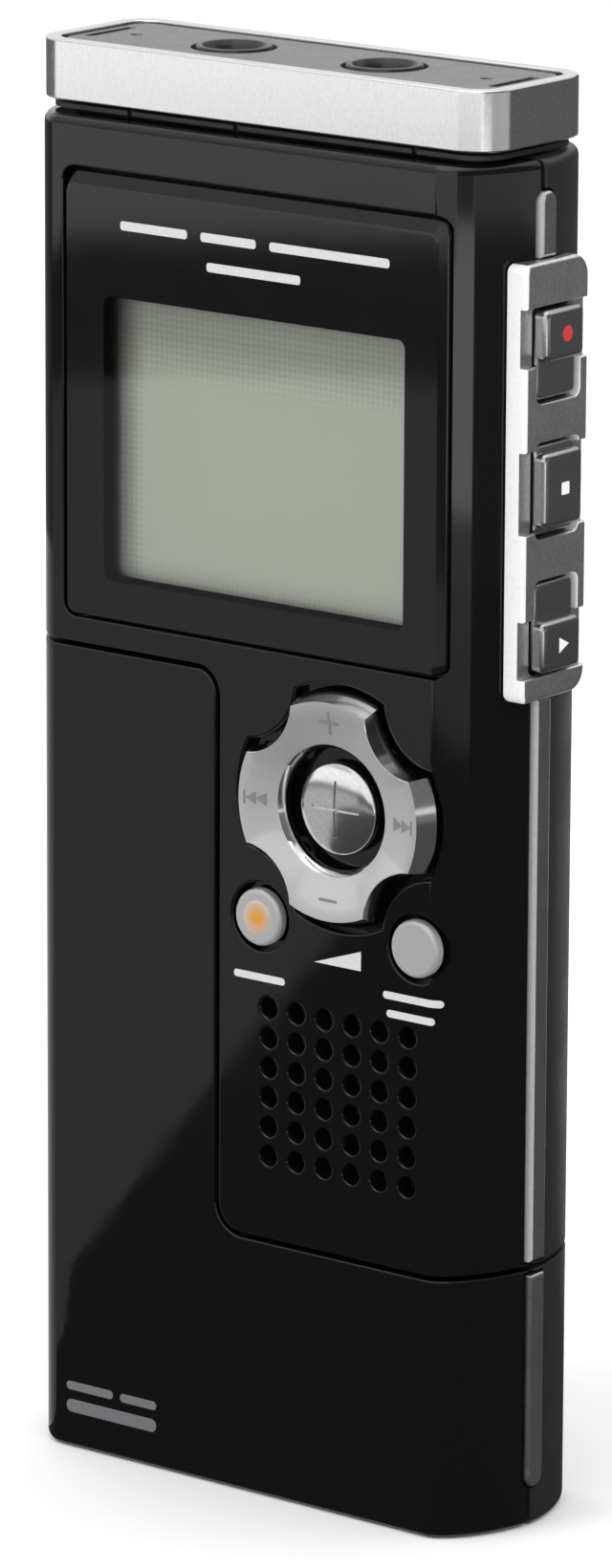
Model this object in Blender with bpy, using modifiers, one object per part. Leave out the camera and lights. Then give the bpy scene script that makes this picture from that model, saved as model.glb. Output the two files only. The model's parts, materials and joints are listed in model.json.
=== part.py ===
"""Handheld voice recorder: a control unit with a slide-off battery unit.

The recorder stands upright. +Z runs along its length, the display faces -Y and the
transport keys are on the +X side. The origin is the centre of the bottom face.
Dimensions are in millimetres and are turned into metres where a mesh is made.
"""

import math

import bmesh
import bpy
from mathutils import Matrix, Vector

MM = 0.001

# Overall form
HEIGHT = 94.8
WIDTH = 38.7
DEPTH = 13.9
CORNER = 3.9            # width of the rolled side edge
ROLL = 1.65             # superellipse exponent of the rolled side edge
ROLL_STEPS = 7
WALL = 1.4
GAP = 0.3               # clearance between neighbouring pieces
PARTING = -0.7          # depth at which front and rear shells meet
BODY_TOP = 90.1
RIM = 0.6               # rounding of the body's end edges
FRONT = -DEPTH / 2
BACK = DEPTH / 2
INNER = DEPTH / 2 - WALL
FAR = 60.0              # reach of a cutter that runs clear of the body

# Metal cap
CAP_BOTTOM = 90.85
CAP_WIDTH = 37.05
CAP_DEPTH = 11.3
CAP_CORNER = 2.6
CAP_WALL = 1.0
JACK_X = 6.1
JACK_RADIUS = 2.5
MIC_X = 14.2

# Battery unit: a left column on a full-width foot
COLUMN_RIGHT = -1.67
COLUMN_TOP = 55.5
FOOT_TOP = 17.8
SEAM_CORNER = 1.9
CELL_X = -10.0
CELL_Y = -0.2
CELL_RADIUS = 5.0
CELL_BOTTOM = 6.0
CELL_LENGTH = 44.5
COVER_X = (-15.3, -4.3)
COVER_Z = (0.4, 52.0)
COVER_LIP = 0.7

# Display
WINDOW_X = (-14.5, 16.35)
WINDOW_Z = (57.4, 86.8)
WINDOW_CORNER = 0.8
LENS_X = (-12.4, 13.3)
LENS_Z = (59.9, 80.6)
HOLDER_X = (-13.5, 14.4)
HOLDER_Z = (57.4, 81.8)

# Front keys
KEYS_X = 8.1
NAV_Z = 47.65
NAV_RADIUS = 7.25
NAV_LOBE = 6.0
NAV_FOOT_RADIUS = 7.85
NAV_FOOT_LOBE = 6.3
NAV_HOLE = 4.05
NAV_FRONT = FRONT - 1.25
WELL_DEPTH = 0.8
OK_RADIUS = 3.05
SMALL_KEY_RADIUS = 1.9
SMALL_KEY_OFFSET = 6.35
SMALL_KEY_Z = 39.45
KEY_FOOT = -3.55        # depth of the front keys' stems

# Speaker
GRILLE_COUNT = 6
GRILLE_PITCH = (2.26, 2.0)
GRILLE_Z = 28.45
GRILLE_RADIUS = 0.68
SPEAKER_RADIUS = 6.6

# Side keys
BRACKET_Y = (-3.6, 3.0)
BRACKET_Z = (55.6, 83.85)
BRACKET_FACE = 20.2
BRACKET_CORNERS = (0.6, 1.4, 1.4, 0.6)
SIDE_KEY_Y = (-2.2, 1.9)
SIDE_KEY_LENGTH = 5.8
SIDE_KEY_RAISED = {"rec": 3.35, "stop": 4.9, "play": 3.35}
SIDE_KEYS = {"rec": (77.9, 1), "stop": (69.2, 0), "play": (60.3, -1)}
SIDE_KEY_FACE = 20.75
SIDE_KEY_STEP = 20.0
SIDE_KEY_FOOT = 16.3
TRIM_Y = (-1.27, 0.35)
TRIM_FACE = 19.62

# Electronics
BOARD_Y = (-2.0, -1.2)
USB_X = (2.1, 14.1)
USB_Y = (-2.25, 2.25)
USB_Z = (3.6, 22.4)
USB_SHEET = 0.35

# Power contacts between the units: place in x, half sizes in x and y, span in z
POWER_X = {"plus": -13.0, "minus": -7.0}
PIN_SIZE = (0.8, 1.0)
PIN_Z = (COLUMN_TOP, COLUMN_TOP + 4.5)
PAD_SIZE = (1.2, 1.6)
PAD_Z = (COLUMN_TOP - 2.5, COLUMN_TOP - GAP - 0.05)

# Screws on the back, (x, z)
CONTROL_SCREWS = {
    "upper_left_screw": (-14.8, 86.4),
    "upper_right_screw": (14.8, 86.4),
    "lower_left_screw": (0.9, 36.4),
    "lower_right_screw": (14.9, 36.0),
}
FOOT_SCREW = (-1.5, 9.5)
SCREW_HEAD = 1.1
SCREW_SHANK = 0.65
BOSS_RADIUS = 1.8


# ---------------------------------------------------------------- scene helpers

def clear_scene():
    for old in list(bpy.data.objects):
        bpy.data.objects.remove(old, do_unlink=True)


def make_group(name):
    group = bpy.data.collections.new(name)
    bpy.context.scene.collection.children.link(group)
    return group


def finish(name, colour, roughness, metallic=0.0):
    material = bpy.data.materials.new(name)
    material.use_nodes = True
    shader = material.node_tree.nodes["Principled BSDF"]
    shader.inputs["Base Color"].default_value = (*colour, 1.0)
    shader.inputs["Roughness"].default_value = roughness
    shader.inputs["Metallic"].default_value = metallic
    return material


def as_part(piece, material):
    """Move a finished solid from the cutters to the recorder and give it its look."""
    for group in list(piece.users_collection):
        group.objects.unlink(piece)
    PARTS.objects.link(piece)
    piece.hide_render = False
    piece.display_type = "TEXTURED"
    piece.data.materials.clear()
    piece.data.materials.append(material)
    piece.data.shade_smooth()
    piece.data.set_sharp_from_angle(angle=math.radians(35))
    return piece


def new_solid(name, mesh):
    piece = bpy.data.objects.new(name, mesh)
    CUTTERS.objects.link(piece)
    piece.hide_render = True
    piece.display_type = "WIRE"
    return piece


def set_origin(piece, x, y, z):
    """Put the piece's origin on its joint axis without moving its shape."""
    point = Vector((x, y, z)) * MM
    piece.data.transform(Matrix.Translation(-point))
    piece.location = point
    return piece


# ---------------------------------------------------------------- solid helpers

AXES = {
    "Z": Matrix.Identity(4),
    "Y": Matrix(((1, 0, 0, 0), (0, 0, -1, 0), (0, 1, 0, 0), (0, 0, 0, 1))),
    "X": Matrix(((0, 0, 1, 0), (1, 0, 0, 0), (0, 1, 0, 0), (0, 0, 0, 1))),
}


def prism(name, outlines, low, high, axis="Z"):
    """Flat outlines drawn across an axis and extruded along it between two levels."""
    curve = bpy.data.curves.new(name, "CURVE")
    curve.dimensions = "2D"
    curve.fill_mode = "BOTH"
    curve.extrude = (high - low) * MM / 2
    for outline in outlines:
        spline = curve.splines.new("POLY")
        spline.points.add(len(outline) - 1)
        for point, (u, v) in zip(spline.points, outline):
            point.co = (u * MM, v * MM, 0.0, 1.0)
        spline.use_cyclic_u = True
    guide = bpy.data.objects.new(name + "_outline", curve)
    bpy.context.scene.collection.objects.link(guide)
    bpy.context.view_layer.update()
    graph = bpy.context.evaluated_depsgraph_get()
    mesh = bpy.data.meshes.new_from_object(guide.evaluated_get(graph))
    bpy.data.objects.remove(guide, do_unlink=True)
    shape = bmesh.new()
    shape.from_mesh(mesh)
    bmesh.ops.remove_doubles(shape, verts=shape.verts, dist=1e-6)
    middle = (low + high) / 2 * MM
    sign = -1 if axis == "Y" else 1
    shift = Matrix.Translation((0, 0, sign * middle))
    bmesh.ops.transform(shape, matrix=AXES[axis] @ shift, verts=shape.verts)
    bmesh.ops.dissolve_limit(shape, angle_limit=0.001, verts=shape.verts, edges=shape.edges)
    bmesh.ops.recalc_face_normals(shape, faces=shape.faces)
    shape.to_mesh(mesh)
    shape.free()
    return new_solid(name, mesh)


def box(name, xs, ys, zs):
    """A block between pairs of coordinates."""
    shape = bmesh.new()
    bmesh.ops.create_cube(shape, size=1.0)
    size = [(pair[1] - pair[0]) * MM for pair in (xs, ys, zs)]
    middle = [(pair[1] + pair[0]) / 2 * MM for pair in (xs, ys, zs)]
    place = Matrix.Translation(middle) @ Matrix.Diagonal((*size, 1.0))
    bmesh.ops.transform(shape, matrix=place, verts=shape.verts)
    mesh = bpy.data.meshes.new(name)
    shape.to_mesh(mesh)
    shape.free()
    return new_solid(name, mesh)


def circle(u, v, radius, sides=24):
    angles = [2 * math.pi * i / sides for i in range(sides)]
    return [(u + radius * math.cos(a), v + radius * math.sin(a)) for a in angles]


def rounded(us, vs, radius, steps=4):
    """A rectangle between pairs of coordinates, with round corners."""
    points = []
    corners = (
        (us[1] - radius, vs[1] - radius, 0),
        (us[0] + radius, vs[1] - radius, 90),
        (us[0] + radius, vs[0] + radius, 180),
        (us[1] - radius, vs[0] + radius, 270),
    )
    for cu, cv, start in corners:
        for i in range(steps + 1):
            a = math.radians(start + 90 * i / steps)
            points.append((cu + radius * math.cos(a), cv + radius * math.sin(a)))
    return points


def uneven(us, vs, radii, steps=4):
    """A rectangle whose four corners, from low-low round to low-high, have their own radii."""
    points = []
    for i, radius in enumerate(radii):
        u = us[1] - radius if i in (1, 2) else us[0] + radius
        v = vs[1] - radius if i > 1 else vs[0] + radius
        for j in range(steps + 1 if radius else 1):
            a = math.radians(180 + 90 * i + 90 * j / steps)
            points.append((u + radius * math.cos(a), v + radius * math.sin(a)))
    return points


def centred(width, depth, radius, steps=4):
    return rounded((-width / 2, width / 2), (-depth / 2, depth / 2), radius, steps)


def cylinder(name, u, v, radius, low, high, axis, sides=24):
    return prism(name, [circle(u, v, radius, sides)], low, high, axis)


def boolean(piece, other, operation):
    modifier = piece.modifiers.new(operation.title() + " " + other.name, "BOOLEAN")
    modifier.operation = operation
    modifier.solver = "EXACT"
    modifier.object = other
    return piece


def cut(piece, *others):
    for other in others:
        boolean(piece, other, "DIFFERENCE")
    return piece


def keep(piece, other):
    return boolean(piece, other, "INTERSECT")


def join(piece, *others):
    for other in others:
        boolean(piece, other, "UNION")
    return piece


def soften(piece, width, segments=2, angle=50):
    """Round the piece's sharp edges."""
    modifier = piece.modifiers.new("Bevel", "BEVEL")
    modifier.width = width * MM
    modifier.segments = segments
    modifier.limit_method = "ANGLE"
    modifier.angle_limit = math.radians(angle)
    return piece


def grown(pair, amount):
    return (pair[0] - amount, pair[1] + amount)


# ---------------------------------------------------------------- body outline

def body_section(inset=0.0):
    """The body's cross-section: flat front and back, rolled sides."""
    half_width = WIDTH / 2 - inset
    half_depth = DEPTH / 2 - inset
    corner = CORNER - inset / 2
    quarter = []
    for i in range(ROLL_STEPS + 1):
        a = math.pi / 2 * i / ROLL_STEPS
        u = corner * math.sin(a) ** (2 / ROLL)
        v = half_depth * (1 - math.cos(a) ** (2 / ROLL))
        quarter.append((half_width - corner + u, -half_depth + v))
    right = quarter + [(x, -y) for x, y in reversed(quarter[:-1])]
    left = [(-x, -y) for x, y in right]
    return right + left


def body_block(name):
    return soften(prism(name, [body_section()], 0.0, BODY_TOP), RIM, 3)


def battery_zone(name, inset):
    """The L that the battery unit fills, seen from the front, cut through the depth."""
    right = COLUMN_RIGHT - inset
    top = COLUMN_TOP - inset
    shelf = FOOT_TOP - inset
    outer = SEAM_CORNER - min(inset, 0.9 * SEAM_CORNER)
    inner = SEAM_CORNER + inset
    points = [(-FAR, -FAR), (FAR, -FAR), (FAR, shelf)]
    for i in range(7):
        a = math.radians(270 - 90 * i / 6)
        points.append((right + inner + inner * math.cos(a), shelf + inner + inner * math.sin(a)))
    for i in range(7):
        a = math.radians(90 * i / 6)
        points.append((right - outer + outer * math.cos(a), top - outer + outer * math.sin(a)))
    points.append((-FAR, top))
    return prism(name, [points], -FAR, FAR, "Y")


def front_half():
    return box("front_half_space", (-FAR, FAR), (-FAR, PARTING - GAP / 2), (-FAR, 2 * FAR))


def back_half():
    return box("back_half_space", (-FAR, FAR), (PARTING + GAP / 2, FAR), (-FAR, 2 * FAR))


# Each trim's height range, and the rounding of its lower and upper end
TRIMS = {
    "upper_side_trim": ((BRACKET_Z[1] + 0.05, 88.15), 0, 0.75),
    "middle_side_trim": ((FOOT_TOP + GAP, BRACKET_Z[0] - 0.05), 0, 0),
    "lower_side_trim": ((2.7, FOOT_TOP - 2 * GAP), 0.75, 0),
}


def trim_outline(name, growth=0.0):
    zs, lower, upper = TRIMS[name]
    return uneven(grown(TRIM_Y, growth), grown(zs, growth), (lower, lower, upper, upper))


def trim_channels():
    outlines = [trim_outline(name, 0.18) for name in TRIMS]
    return prism("trim_channels", outlines, TRIM_FACE - 0.9, FAR, "X")


def side_key_range(name, growth=0.0):
    middle = SIDE_KEYS[name][0]
    return grown((middle - SIDE_KEY_LENGTH / 2, middle + SIDE_KEY_LENGTH / 2), growth)


def raised_range(name, growth=0.0):
    """Where the raised pad lies on its key: at the top, the middle or the bottom."""
    middle, place = SIDE_KEYS[name]
    length = SIDE_KEY_RAISED[name]
    centre = middle + place * (SIDE_KEY_LENGTH - length) / 2
    return grown((centre - length / 2, centre + length / 2), growth)


def side_key_windows(name, low):
    ys = grown(SIDE_KEY_Y, 0.2)
    outlines = [rounded(ys, side_key_range(key, 0.2), 0.5, 2) for key in SIDE_KEYS]
    return prism(name, outlines, low, FAR, "X")


def nav_outline(radius, lobe, growth=0.0, steps=6):
    """Four round lobes joined by hollow diagonals."""
    radius = radius + growth
    half = lobe / 2 + growth
    edge = math.sqrt(radius**2 - half**2)
    bite_centre = radius * 0.94
    points = []
    for quarter in range(4):
        turn = math.radians(90 * quarter)
        arc = math.atan2(half, edge)
        local = []
        for i in range(steps + 1):
            a = -arc + 2 * arc * i / steps
            local.append((radius * math.cos(a), radius * math.sin(a)))
        bite = math.hypot(edge - bite_centre, half - bite_centre)
        start = math.atan2(half - bite_centre, edge - bite_centre)
        end = math.atan2(edge - bite_centre, half - bite_centre)
        if end > start:
            end -= 2 * math.pi
        for i in range(1, steps):
            a = start + (end - start) * i / steps
            local.append((bite_centre + bite * math.cos(a), bite_centre + bite * math.sin(a)))
        for x, y in local:
            points.append(
                (
                    KEYS_X + x * math.cos(turn) - y * math.sin(turn),
                    NAV_Z + x * math.sin(turn) + y * math.cos(turn),
                )
            )
    return points


def small_key_centres():
    return {
        "erase_button": (KEYS_X - SMALL_KEY_OFFSET, SMALL_KEY_Z),
        "folder_button": (KEYS_X + SMALL_KEY_OFFSET, SMALL_KEY_Z),
    }


def grille_outlines():
    outlines = []
    for row in range(GRILLE_COUNT):
        for column in range(GRILLE_COUNT):
            x = KEYS_X + (column - (GRILLE_COUNT - 1) / 2) * GRILLE_PITCH[0]
            z = GRILLE_Z + (row - (GRILLE_COUNT - 1) / 2) * GRILLE_PITCH[1]
            outlines.append(circle(x, z, GRILLE_RADIUS, 8))
    return outlines


# ---------------------------------------------------------------- control unit shells

def control_cavity():
    hollow = prism("control_cavity", [body_section(WALL)], FOOT_TOP + WALL, BODY_TOP - WALL)
    return cut(hollow, battery_zone("battery_zone_wall", -WALL))


def neck_opening():
    return prism("neck_opening", [centred(34.2, 8.6, 2.0)], BODY_TOP - 4, FAR * 2)


def usb_opening():
    return box("usb_opening", grown(USB_X, GAP), grown(USB_Y, GAP), (FOOT_TOP - 5, FOOT_TOP + 3))


def hold_slot():
    return box("hold_slot", (-FAR, -16.0), (-1.2, 1.2), (65.2, 73.1))


def power_openings(name, size, zs):
    outlines = []
    for x in POWER_X.values():
        xs = grown((x, x), size[0] + GAP)
        outlines.append(rounded(xs, grown((0, 0), size[1] + GAP), 0.2, 1))
    return prism(name, outlines, *zs)


def pin_openings():
    return power_openings("pin_openings", PIN_SIZE, (COLUMN_TOP - 1, COLUMN_TOP + 3))


def pad_openings():
    return power_openings("pad_openings", PAD_SIZE, (COLUMN_TOP - 5, COLUMN_TOP + 3))


def boss(name, place, low, high, radius=BOSS_RADIUS):
    return cylinder(name, *place, radius, low, high, "Y", 12)


def front_shell():
    shell = body_block("front_shell")
    keep(shell, front_half())
    cut(shell, battery_zone("battery_zone_front", 0.0), control_cavity())
    for name, place in CONTROL_SCREWS.items():
        join(shell, boss(name + "_boss", place, -INNER - GAP, PARTING - GAP))
        cut(shell, boss(name + "_bore", place, -4.2, 5.0, SCREW_SHANK + GAP))
    well = prism("nav_well", [nav_outline(NAV_FOOT_RADIUS, NAV_FOOT_LOBE, 0.4)], -FAR, FRONT + WELL_DEPTH, "Y")
    cut(shell, well)
    posts = [circle(*nav_post(i), 0.95, 8) for i in range(4)]
    stems = [circle(*place, 1.2, 12) for place in small_key_centres().values()]
    stems.append(circle(KEYS_X, NAV_Z, 1.6, 16))
    cut(shell, prism("front_holes", posts + stems + grille_outlines(), -FAR, -INNER + 1, "Y"))
    cups = [circle(*place, SMALL_KEY_RADIUS + 0.4, 20) for place in small_key_centres().values()]
    cut(shell, prism("small_key_cups", cups, -FAR, FRONT + WELL_DEPTH, "Y"))
    window = rounded(grown(WINDOW_X, 0.2), grown(WINDOW_Z, 0.2), WINDOW_CORNER + 0.2)
    cut(shell, prism("window_recess", [window], -FAR, FRONT + 1.0, "Y"))
    sight = rounded(grown(LENS_X, 0.3), grown(LENS_Z, 0.3), 0.8)
    cut(shell, prism("display_opening", [sight], -FAR, -INNER + 1, "Y"))
    cut(shell, neck_opening(), usb_opening(), hold_slot(), pin_openings())
    cut(shell, side_key_windows("side_key_holes_front", 15.0), trim_channels())
    return as_part(shell, GLOSS_BLACK)


def rear_shell():
    shell = body_block("rear_shell")
    keep(shell, back_half())
    cut(shell, battery_zone("battery_zone_rear", 0.0), control_cavity())
    cut(shell, neck_opening(), usb_opening(), hold_slot(), pin_openings())
    cut(shell, side_key_windows("side_key_holes_rear", 15.0), trim_channels())
    for name, place in CONTROL_SCREWS.items():
        join(shell, boss(name + "_seat", place, PARTING + GAP, INNER + GAP))
        cut(shell, boss(name + "_rear_bore", place, -2.0, FAR, SCREW_SHANK + GAP))
        cut(shell, boss(name + "_counterbore", place, BACK - 1.2, FAR, SCREW_HEAD + GAP))
    hole = rounded((KEYS_X - 4.2, KEYS_X + 4.2), (23.3, 26.9), 0.9, 3)
    cut(shell, prism("release_opening", [hole], 3.0, FAR, "Y"))
    return as_part(shell, SATIN_BLACK)


# ---------------------------------------------------------------- cap and jacks

def cap_band():
    outlines = [
        centred(CAP_WIDTH, CAP_DEPTH, CAP_CORNER, 6),
        centred(CAP_WIDTH - 2 * CAP_WALL, CAP_DEPTH - 2 * CAP_WALL, CAP_CORNER - CAP_WALL, 4),
    ]
    band = prism("top_cap_band", outlines, CAP_BOTTOM, HEIGHT)
    return as_part(soften(band, 0.25, 2), SATIN_METAL)


def cap_plate():
    outlines = [centred(34.4, 8.7, 1.4, 4)]
    outlines += [circle(side * JACK_X, 0.0, JACK_RADIUS + GAP, 20) for side in (-1, 1)]
    outlines += [circle(side * MIC_X, 0.0, 0.4, 8) for side in (-1, 1)]
    for slit_x in (-16.35, 16.35):
        outlines.append(rounded(grown((slit_x, slit_x), 0.25), (-2.4, 2.4), 0.2, 2))
    plate = prism("top_plate", outlines, HEIGHT - 1.3, HEIGHT - 0.15)
    return as_part(plate, PLATE_METAL)


def neck():
    """The frame that carries the cap: it plugs into the body and into the band."""
    lower = prism("neck_frame", [centred(33.5, 7.9, 1.7)], BODY_TOP - 1.3, CAP_BOTTOM + 2.3)
    collar = prism("neck_collar", [centred(36.0, 10.2, 2.2)], BODY_TOP + 0.2, CAP_BOTTOM - 0.2)
    join(lower, collar)
    cut(lower, prism("neck_hollow", [centred(32.3, 6.8, 1.2)], 0.0, 2 * FAR))
    return as_part(lower, SATIN_BLACK)


def jack(name, x):
    rings = [circle(x, 0.0, JACK_RADIUS, 20), circle(x, 0.0, 1.8, 16)]
    collar = prism(name + "_collar", rings, HEIGHT - 1.5, HEIGHT)
    as_part(soften(collar, 0.15, 1), SATIN_BLACK)
    body = box(name, (x - 3.2, x + 3.2), (-3.0, 3.0), (84.6, HEIGHT - 1.9))
    bore = cylinder(name + "_bore", x, 0.0, 1.8, 86.0, FAR * 2, "Z", 16)
    return as_part(cut(body, bore), MATT_BLACK)


def microphone(name, side):
    can = cylinder(name, side * MIC_X, 0.0, 1.75, 90.6, 92.9, "Z", 16)
    return as_part(soften(can, 0.2, 1), BRIGHT_METAL)


# ---------------------------------------------------------------- display

def display():
    outline = rounded(WINDOW_X, WINDOW_Z, WINDOW_CORNER)
    window = prism("display_window", [outline], FRONT + 0.02, FRONT + 0.9, "Y")
    keep(window, prism("window_space", [body_section(0.02)], -FAR, 2 * FAR))
    as_part(soften(window, 0.12, 1), WINDOW)
    lens = box("display_panel", LENS_X, (-5.2, -4.1), LENS_Z)
    as_part(lens, LCD)
    ring = [
        rounded(HOLDER_X, HOLDER_Z, 0.6, 2),
        rounded(grown(HOLDER_X, -0.8), grown(HOLDER_Z, -0.8), 0.3, 2),
    ]
    as_part(prism("display_holder", ring, -5.2, -2.9, "Y"), WHITE_PLASTIC)
    as_part(box("display_light_guide", LENS_X, (-3.8, -3.0), LENS_Z), LIGHT_GUIDE)
    strip = box("display_connector_strip", (-9.0, 10.0), (-5.0, -3.0), (58.4, 59.5))
    as_part(strip, RUBBER)


# ---------------------------------------------------------------- circuit boards

def main_board():
    points = [(-16.2, 57.6), (0.4, 57.6), (0.4, 24.2), (16.6, 24.2), (16.6, 54.8),
              (13.2, 56.8), (13.2, 84.0), (-16.2, 84.0)]
    board = prism("main_circuit_board", [points], *BOARD_Y, "Y")
    for name in ("lower_left_screw", "lower_right_screw"):
        hole = boss(name + "_board_hole", CONTROL_SCREWS[name], -3.0, 0.0, BOSS_RADIUS + GAP)
        cut(board, hole)
    return as_part(board, BOARD_GREEN)


def chips():
    face = BOARD_Y[1] + 0.12
    as_part(box("processor_chip", (-9.0, 1.0), (face, face + 1.1), (63.0, 73.0)), MATT_BLACK)
    as_part(box("memory_chip", (-14.0, -2.0), (face, face + 1.0), (74.8, 82.8)), MATT_BLACK)
    can = prism("timing_crystal", [rounded((4.0, 7.4), (66.0, 74.0), 0.8, 2)], face, face + 1.3, "Y")
    as_part(can, BRIGHT_METAL)


def dome_sheet():
    """Click domes under the front keys, on one carrier sheet."""
    sheet = prism(
        "key_dome_sheet",
        [rounded((1.0, 15.6), (38.6, 54.6), 1.0, 2)],
        BOARD_Y[0] - 0.45,
        BOARD_Y[0] - 0.15,
        "Y",
    )
    places = [(KEYS_X, NAV_Z)]
    places += [(KEYS_X + 5 * u, NAV_Z + 5 * v) for u, v in ((1, 0), (0, 1), (-1, 0), (0, -1))]
    for i, place in enumerate(places):
        dome = cylinder(f"dome_{i}", *place, 1.4, BOARD_Y[0] - 0.9, BOARD_Y[0] - 0.3, "Y", 12)
        join(sheet, dome)
    return as_part(sheet, BRIGHT_METAL)


def side_switches():
    board = box("side_switch_board", (14.0, 14.6), (-2.6, 2.4), (56.6, 82.0))
    as_part(board, BOARD_GREEN)
    for name, (middle, _) in SIDE_KEYS.items():
        switch = box(name + "_switch", (14.72, 15.4), (-1.7, 1.4), (middle - 1.8, middle + 1.8))
        button = cylinder(name + "_switch_button", -0.15, middle, 0.8, 15.0, 15.8, "X", 10)
        as_part(join(switch, button), BRIGHT_METAL)


# ---------------------------------------------------------------- speaker

def speaker():
    z = GRILLE_Z
    as_part(
        prism("speaker_mesh", [rounded((1.5, 14.7), (22.4, 34.3), 1.5, 2)], -5.4, -5.2, "Y"),
        MATT_BLACK,
    )
    ring = [circle(KEYS_X, z, SPEAKER_RADIUS, 24), circle(KEYS_X, z, SPEAKER_RADIUS - 1.0, 24)]
    as_part(prism("speaker_gasket", ring, -5.0, -4.5, "Y"), RUBBER)
    cone = cylinder("speaker", KEYS_X, z, SPEAKER_RADIUS, -4.3, -3.1, "Y")
    magnet = cylinder("speaker_magnet", KEYS_X, z, 3.6, -3.3, -2.3, "Y")
    dish = cylinder("speaker_dish", KEYS_X, z, SPEAKER_RADIUS - 1.2, -6.0, -3.9, "Y")
    return as_part(cut(join(cone, magnet), dish), BRIGHT_METAL)


# ---------------------------------------------------------------- plug

def usb_plug():
    shell = box("usb_plug_shell", USB_X, USB_Y, USB_Z)
    inside = box("usb_plug_inside", grown(USB_X, -USB_SHEET), grown(USB_Y, -USB_SHEET), (-FAR, 20.0))
    cut(shell, inside)
    squares = box("usb_plug_latch_holes", (3.6, 5.8), (-FAR, FAR), (9.0, 11.2))
    squares_right = box("usb_plug_latch_holes_right", (10.4, 12.6), (-FAR, FAR), (9.0, 11.2))
    cut(shell, squares, squares_right)
    as_part(shell, BRIGHT_METAL)
    tongue = box("usb_plug_tongue", grown(USB_X, -0.75), (-0.4, 1.5), (4.6, 19.6))
    as_part(tongue, WHITE_PLASTIC)


# ---------------------------------------------------------------- side bracket and trims

def side_bracket():
    outline = uneven(BRACKET_Y, BRACKET_Z, BRACKET_CORNERS)
    bracket = soften(prism("side_button_bracket", [outline], 17.5, BRACKET_FACE, "X"), 0.2, 2)
    cut(bracket, prism("bracket_seat", [body_section(-0.15)], -FAR, FAR * 2))
    cut(bracket, side_key_windows("bracket_windows", 15.0))
    for name in SIDE_KEYS:
        relief = box(name + "_relief", (BRACKET_FACE - 0.5, FAR), (-FAR, FAR), raised_range(name, 0.2))
        cut(bracket, relief)
    return as_part(bracket, SATIN_METAL)


def side_trims():
    for name in TRIMS:
        trim = prism(name, [trim_outline(name)], TRIM_FACE - 0.6, TRIM_FACE, "X")
        as_part(soften(trim, 0.15, 1), SATIN_METAL)


# ---------------------------------------------------------------- keys

def side_key(name):
    zs = side_key_range(name)
    raised = raised_range(name)
    low = box(name + "_button", (SIDE_KEY_FOOT, SIDE_KEY_STEP), SIDE_KEY_Y, zs)
    soften(low, 0.2, 1)
    high = soften(box(name + "_pad", (18.5, SIDE_KEY_FACE), SIDE_KEY_Y, raised), 0.25, 2)
    flange = box(
        name + "_flange", (SIDE_KEY_FOOT, SIDE_KEY_FOOT + 0.6), grown(SIDE_KEY_Y, 0.45), grown(zs, 0.5)
    )
    join(low, high, flange)
    as_part(low, SATIN_METAL)
    return set_origin(low, SIDE_KEY_FACE, 0.0, SIDE_KEYS[name][0])


def nav_post(i):
    a = math.radians(45 + 90 * i)
    return (KEYS_X + 4.9 * math.cos(a), NAV_Z + 4.9 * math.sin(a))


def draw_in(piece, wide, narrow, level):
    """Slope a prism's sides by moving its outline at one level along Y."""
    shape = bmesh.new()
    shape.from_mesh(piece.data)
    for vertex in shape.verts:
        if abs(vertex.co.y - level * MM) < 1e-6:
            for (u, v), (new_u, new_v) in zip(wide, narrow):
                if math.hypot(vertex.co.x - u * MM, vertex.co.z - v * MM) < 1e-6:
                    vertex.co.x, vertex.co.z = new_u * MM, new_v * MM
                    break
    shape.normal_update()
    bmesh.ops.triangulate(shape, faces=[face for face in shape.faces if abs(face.normal.y) < 0.99])
    shape.to_mesh(piece.data)
    shape.free()
    return piece


def nav_ring():
    foot = nav_outline(NAV_FOOT_RADIUS, NAV_FOOT_LOBE)
    hole = circle(KEYS_X, NAV_Z, NAV_HOLE, 24)
    ring = prism("nav_ring", [foot, hole], NAV_FRONT, FRONT + 0.15, "Y")
    soften(draw_in(ring, foot, nav_outline(NAV_RADIUS, NAV_LOBE), NAV_FRONT), 0.15, 2)
    for i in range(4):
        join(ring, cylinder(f"nav_post_{i}", *nav_post(i), 0.55, NAV_FRONT + 0.5, -5.2, "Y", 8))
    as_part(ring, SATIN_METAL)
    set_origin(ring, KEYS_X, FRONT + 1.0, NAV_Z)
    carrier = prism(
        "nav_pivot_plate",
        [circle(KEYS_X, NAV_Z, 6.0, 20), circle(KEYS_X, NAV_Z, 2.2, 16)],
        -4.9,
        -4.5,
        "Y",
    )
    as_part(carrier, WHITE_PLASTIC)
    return set_origin(carrier, KEYS_X, FRONT + 1.0, NAV_Z)


def round_key(name, place, radius, front, material, stem):
    cap_back = FRONT + WELL_DEPTH - 0.45
    cap = soften(cylinder(name, *place, radius, front, cap_back, "Y"), 0.25, 2)
    join(cap, cylinder(name + "_stem", *place, stem, cap_back - 0.3, KEY_FOOT, "Y", 12))
    as_part(cap, material)
    return set_origin(cap, place[0], front, place[1])


def hold_switch():
    knob = soften(box("hold_switch", (-19.95, -17.0), (-0.9, 0.9), (68.4, 72.8)), 0.2, 1)
    ridges = [box(f"hold_groove_{i}", (-FAR, -19.7), (-FAR, FAR), (69.3 + i, 69.7 + i)) for i in range(3)]
    base = box("hold_switch_base", (-17.4, -16.8), (-1.5, 1.5), (66.4, 74.6))
    cut(join(knob, base), *ridges)
    as_part(knob, SATIN_BLACK)
    return set_origin(knob, -19.95, 0.0, 70.6)


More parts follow.
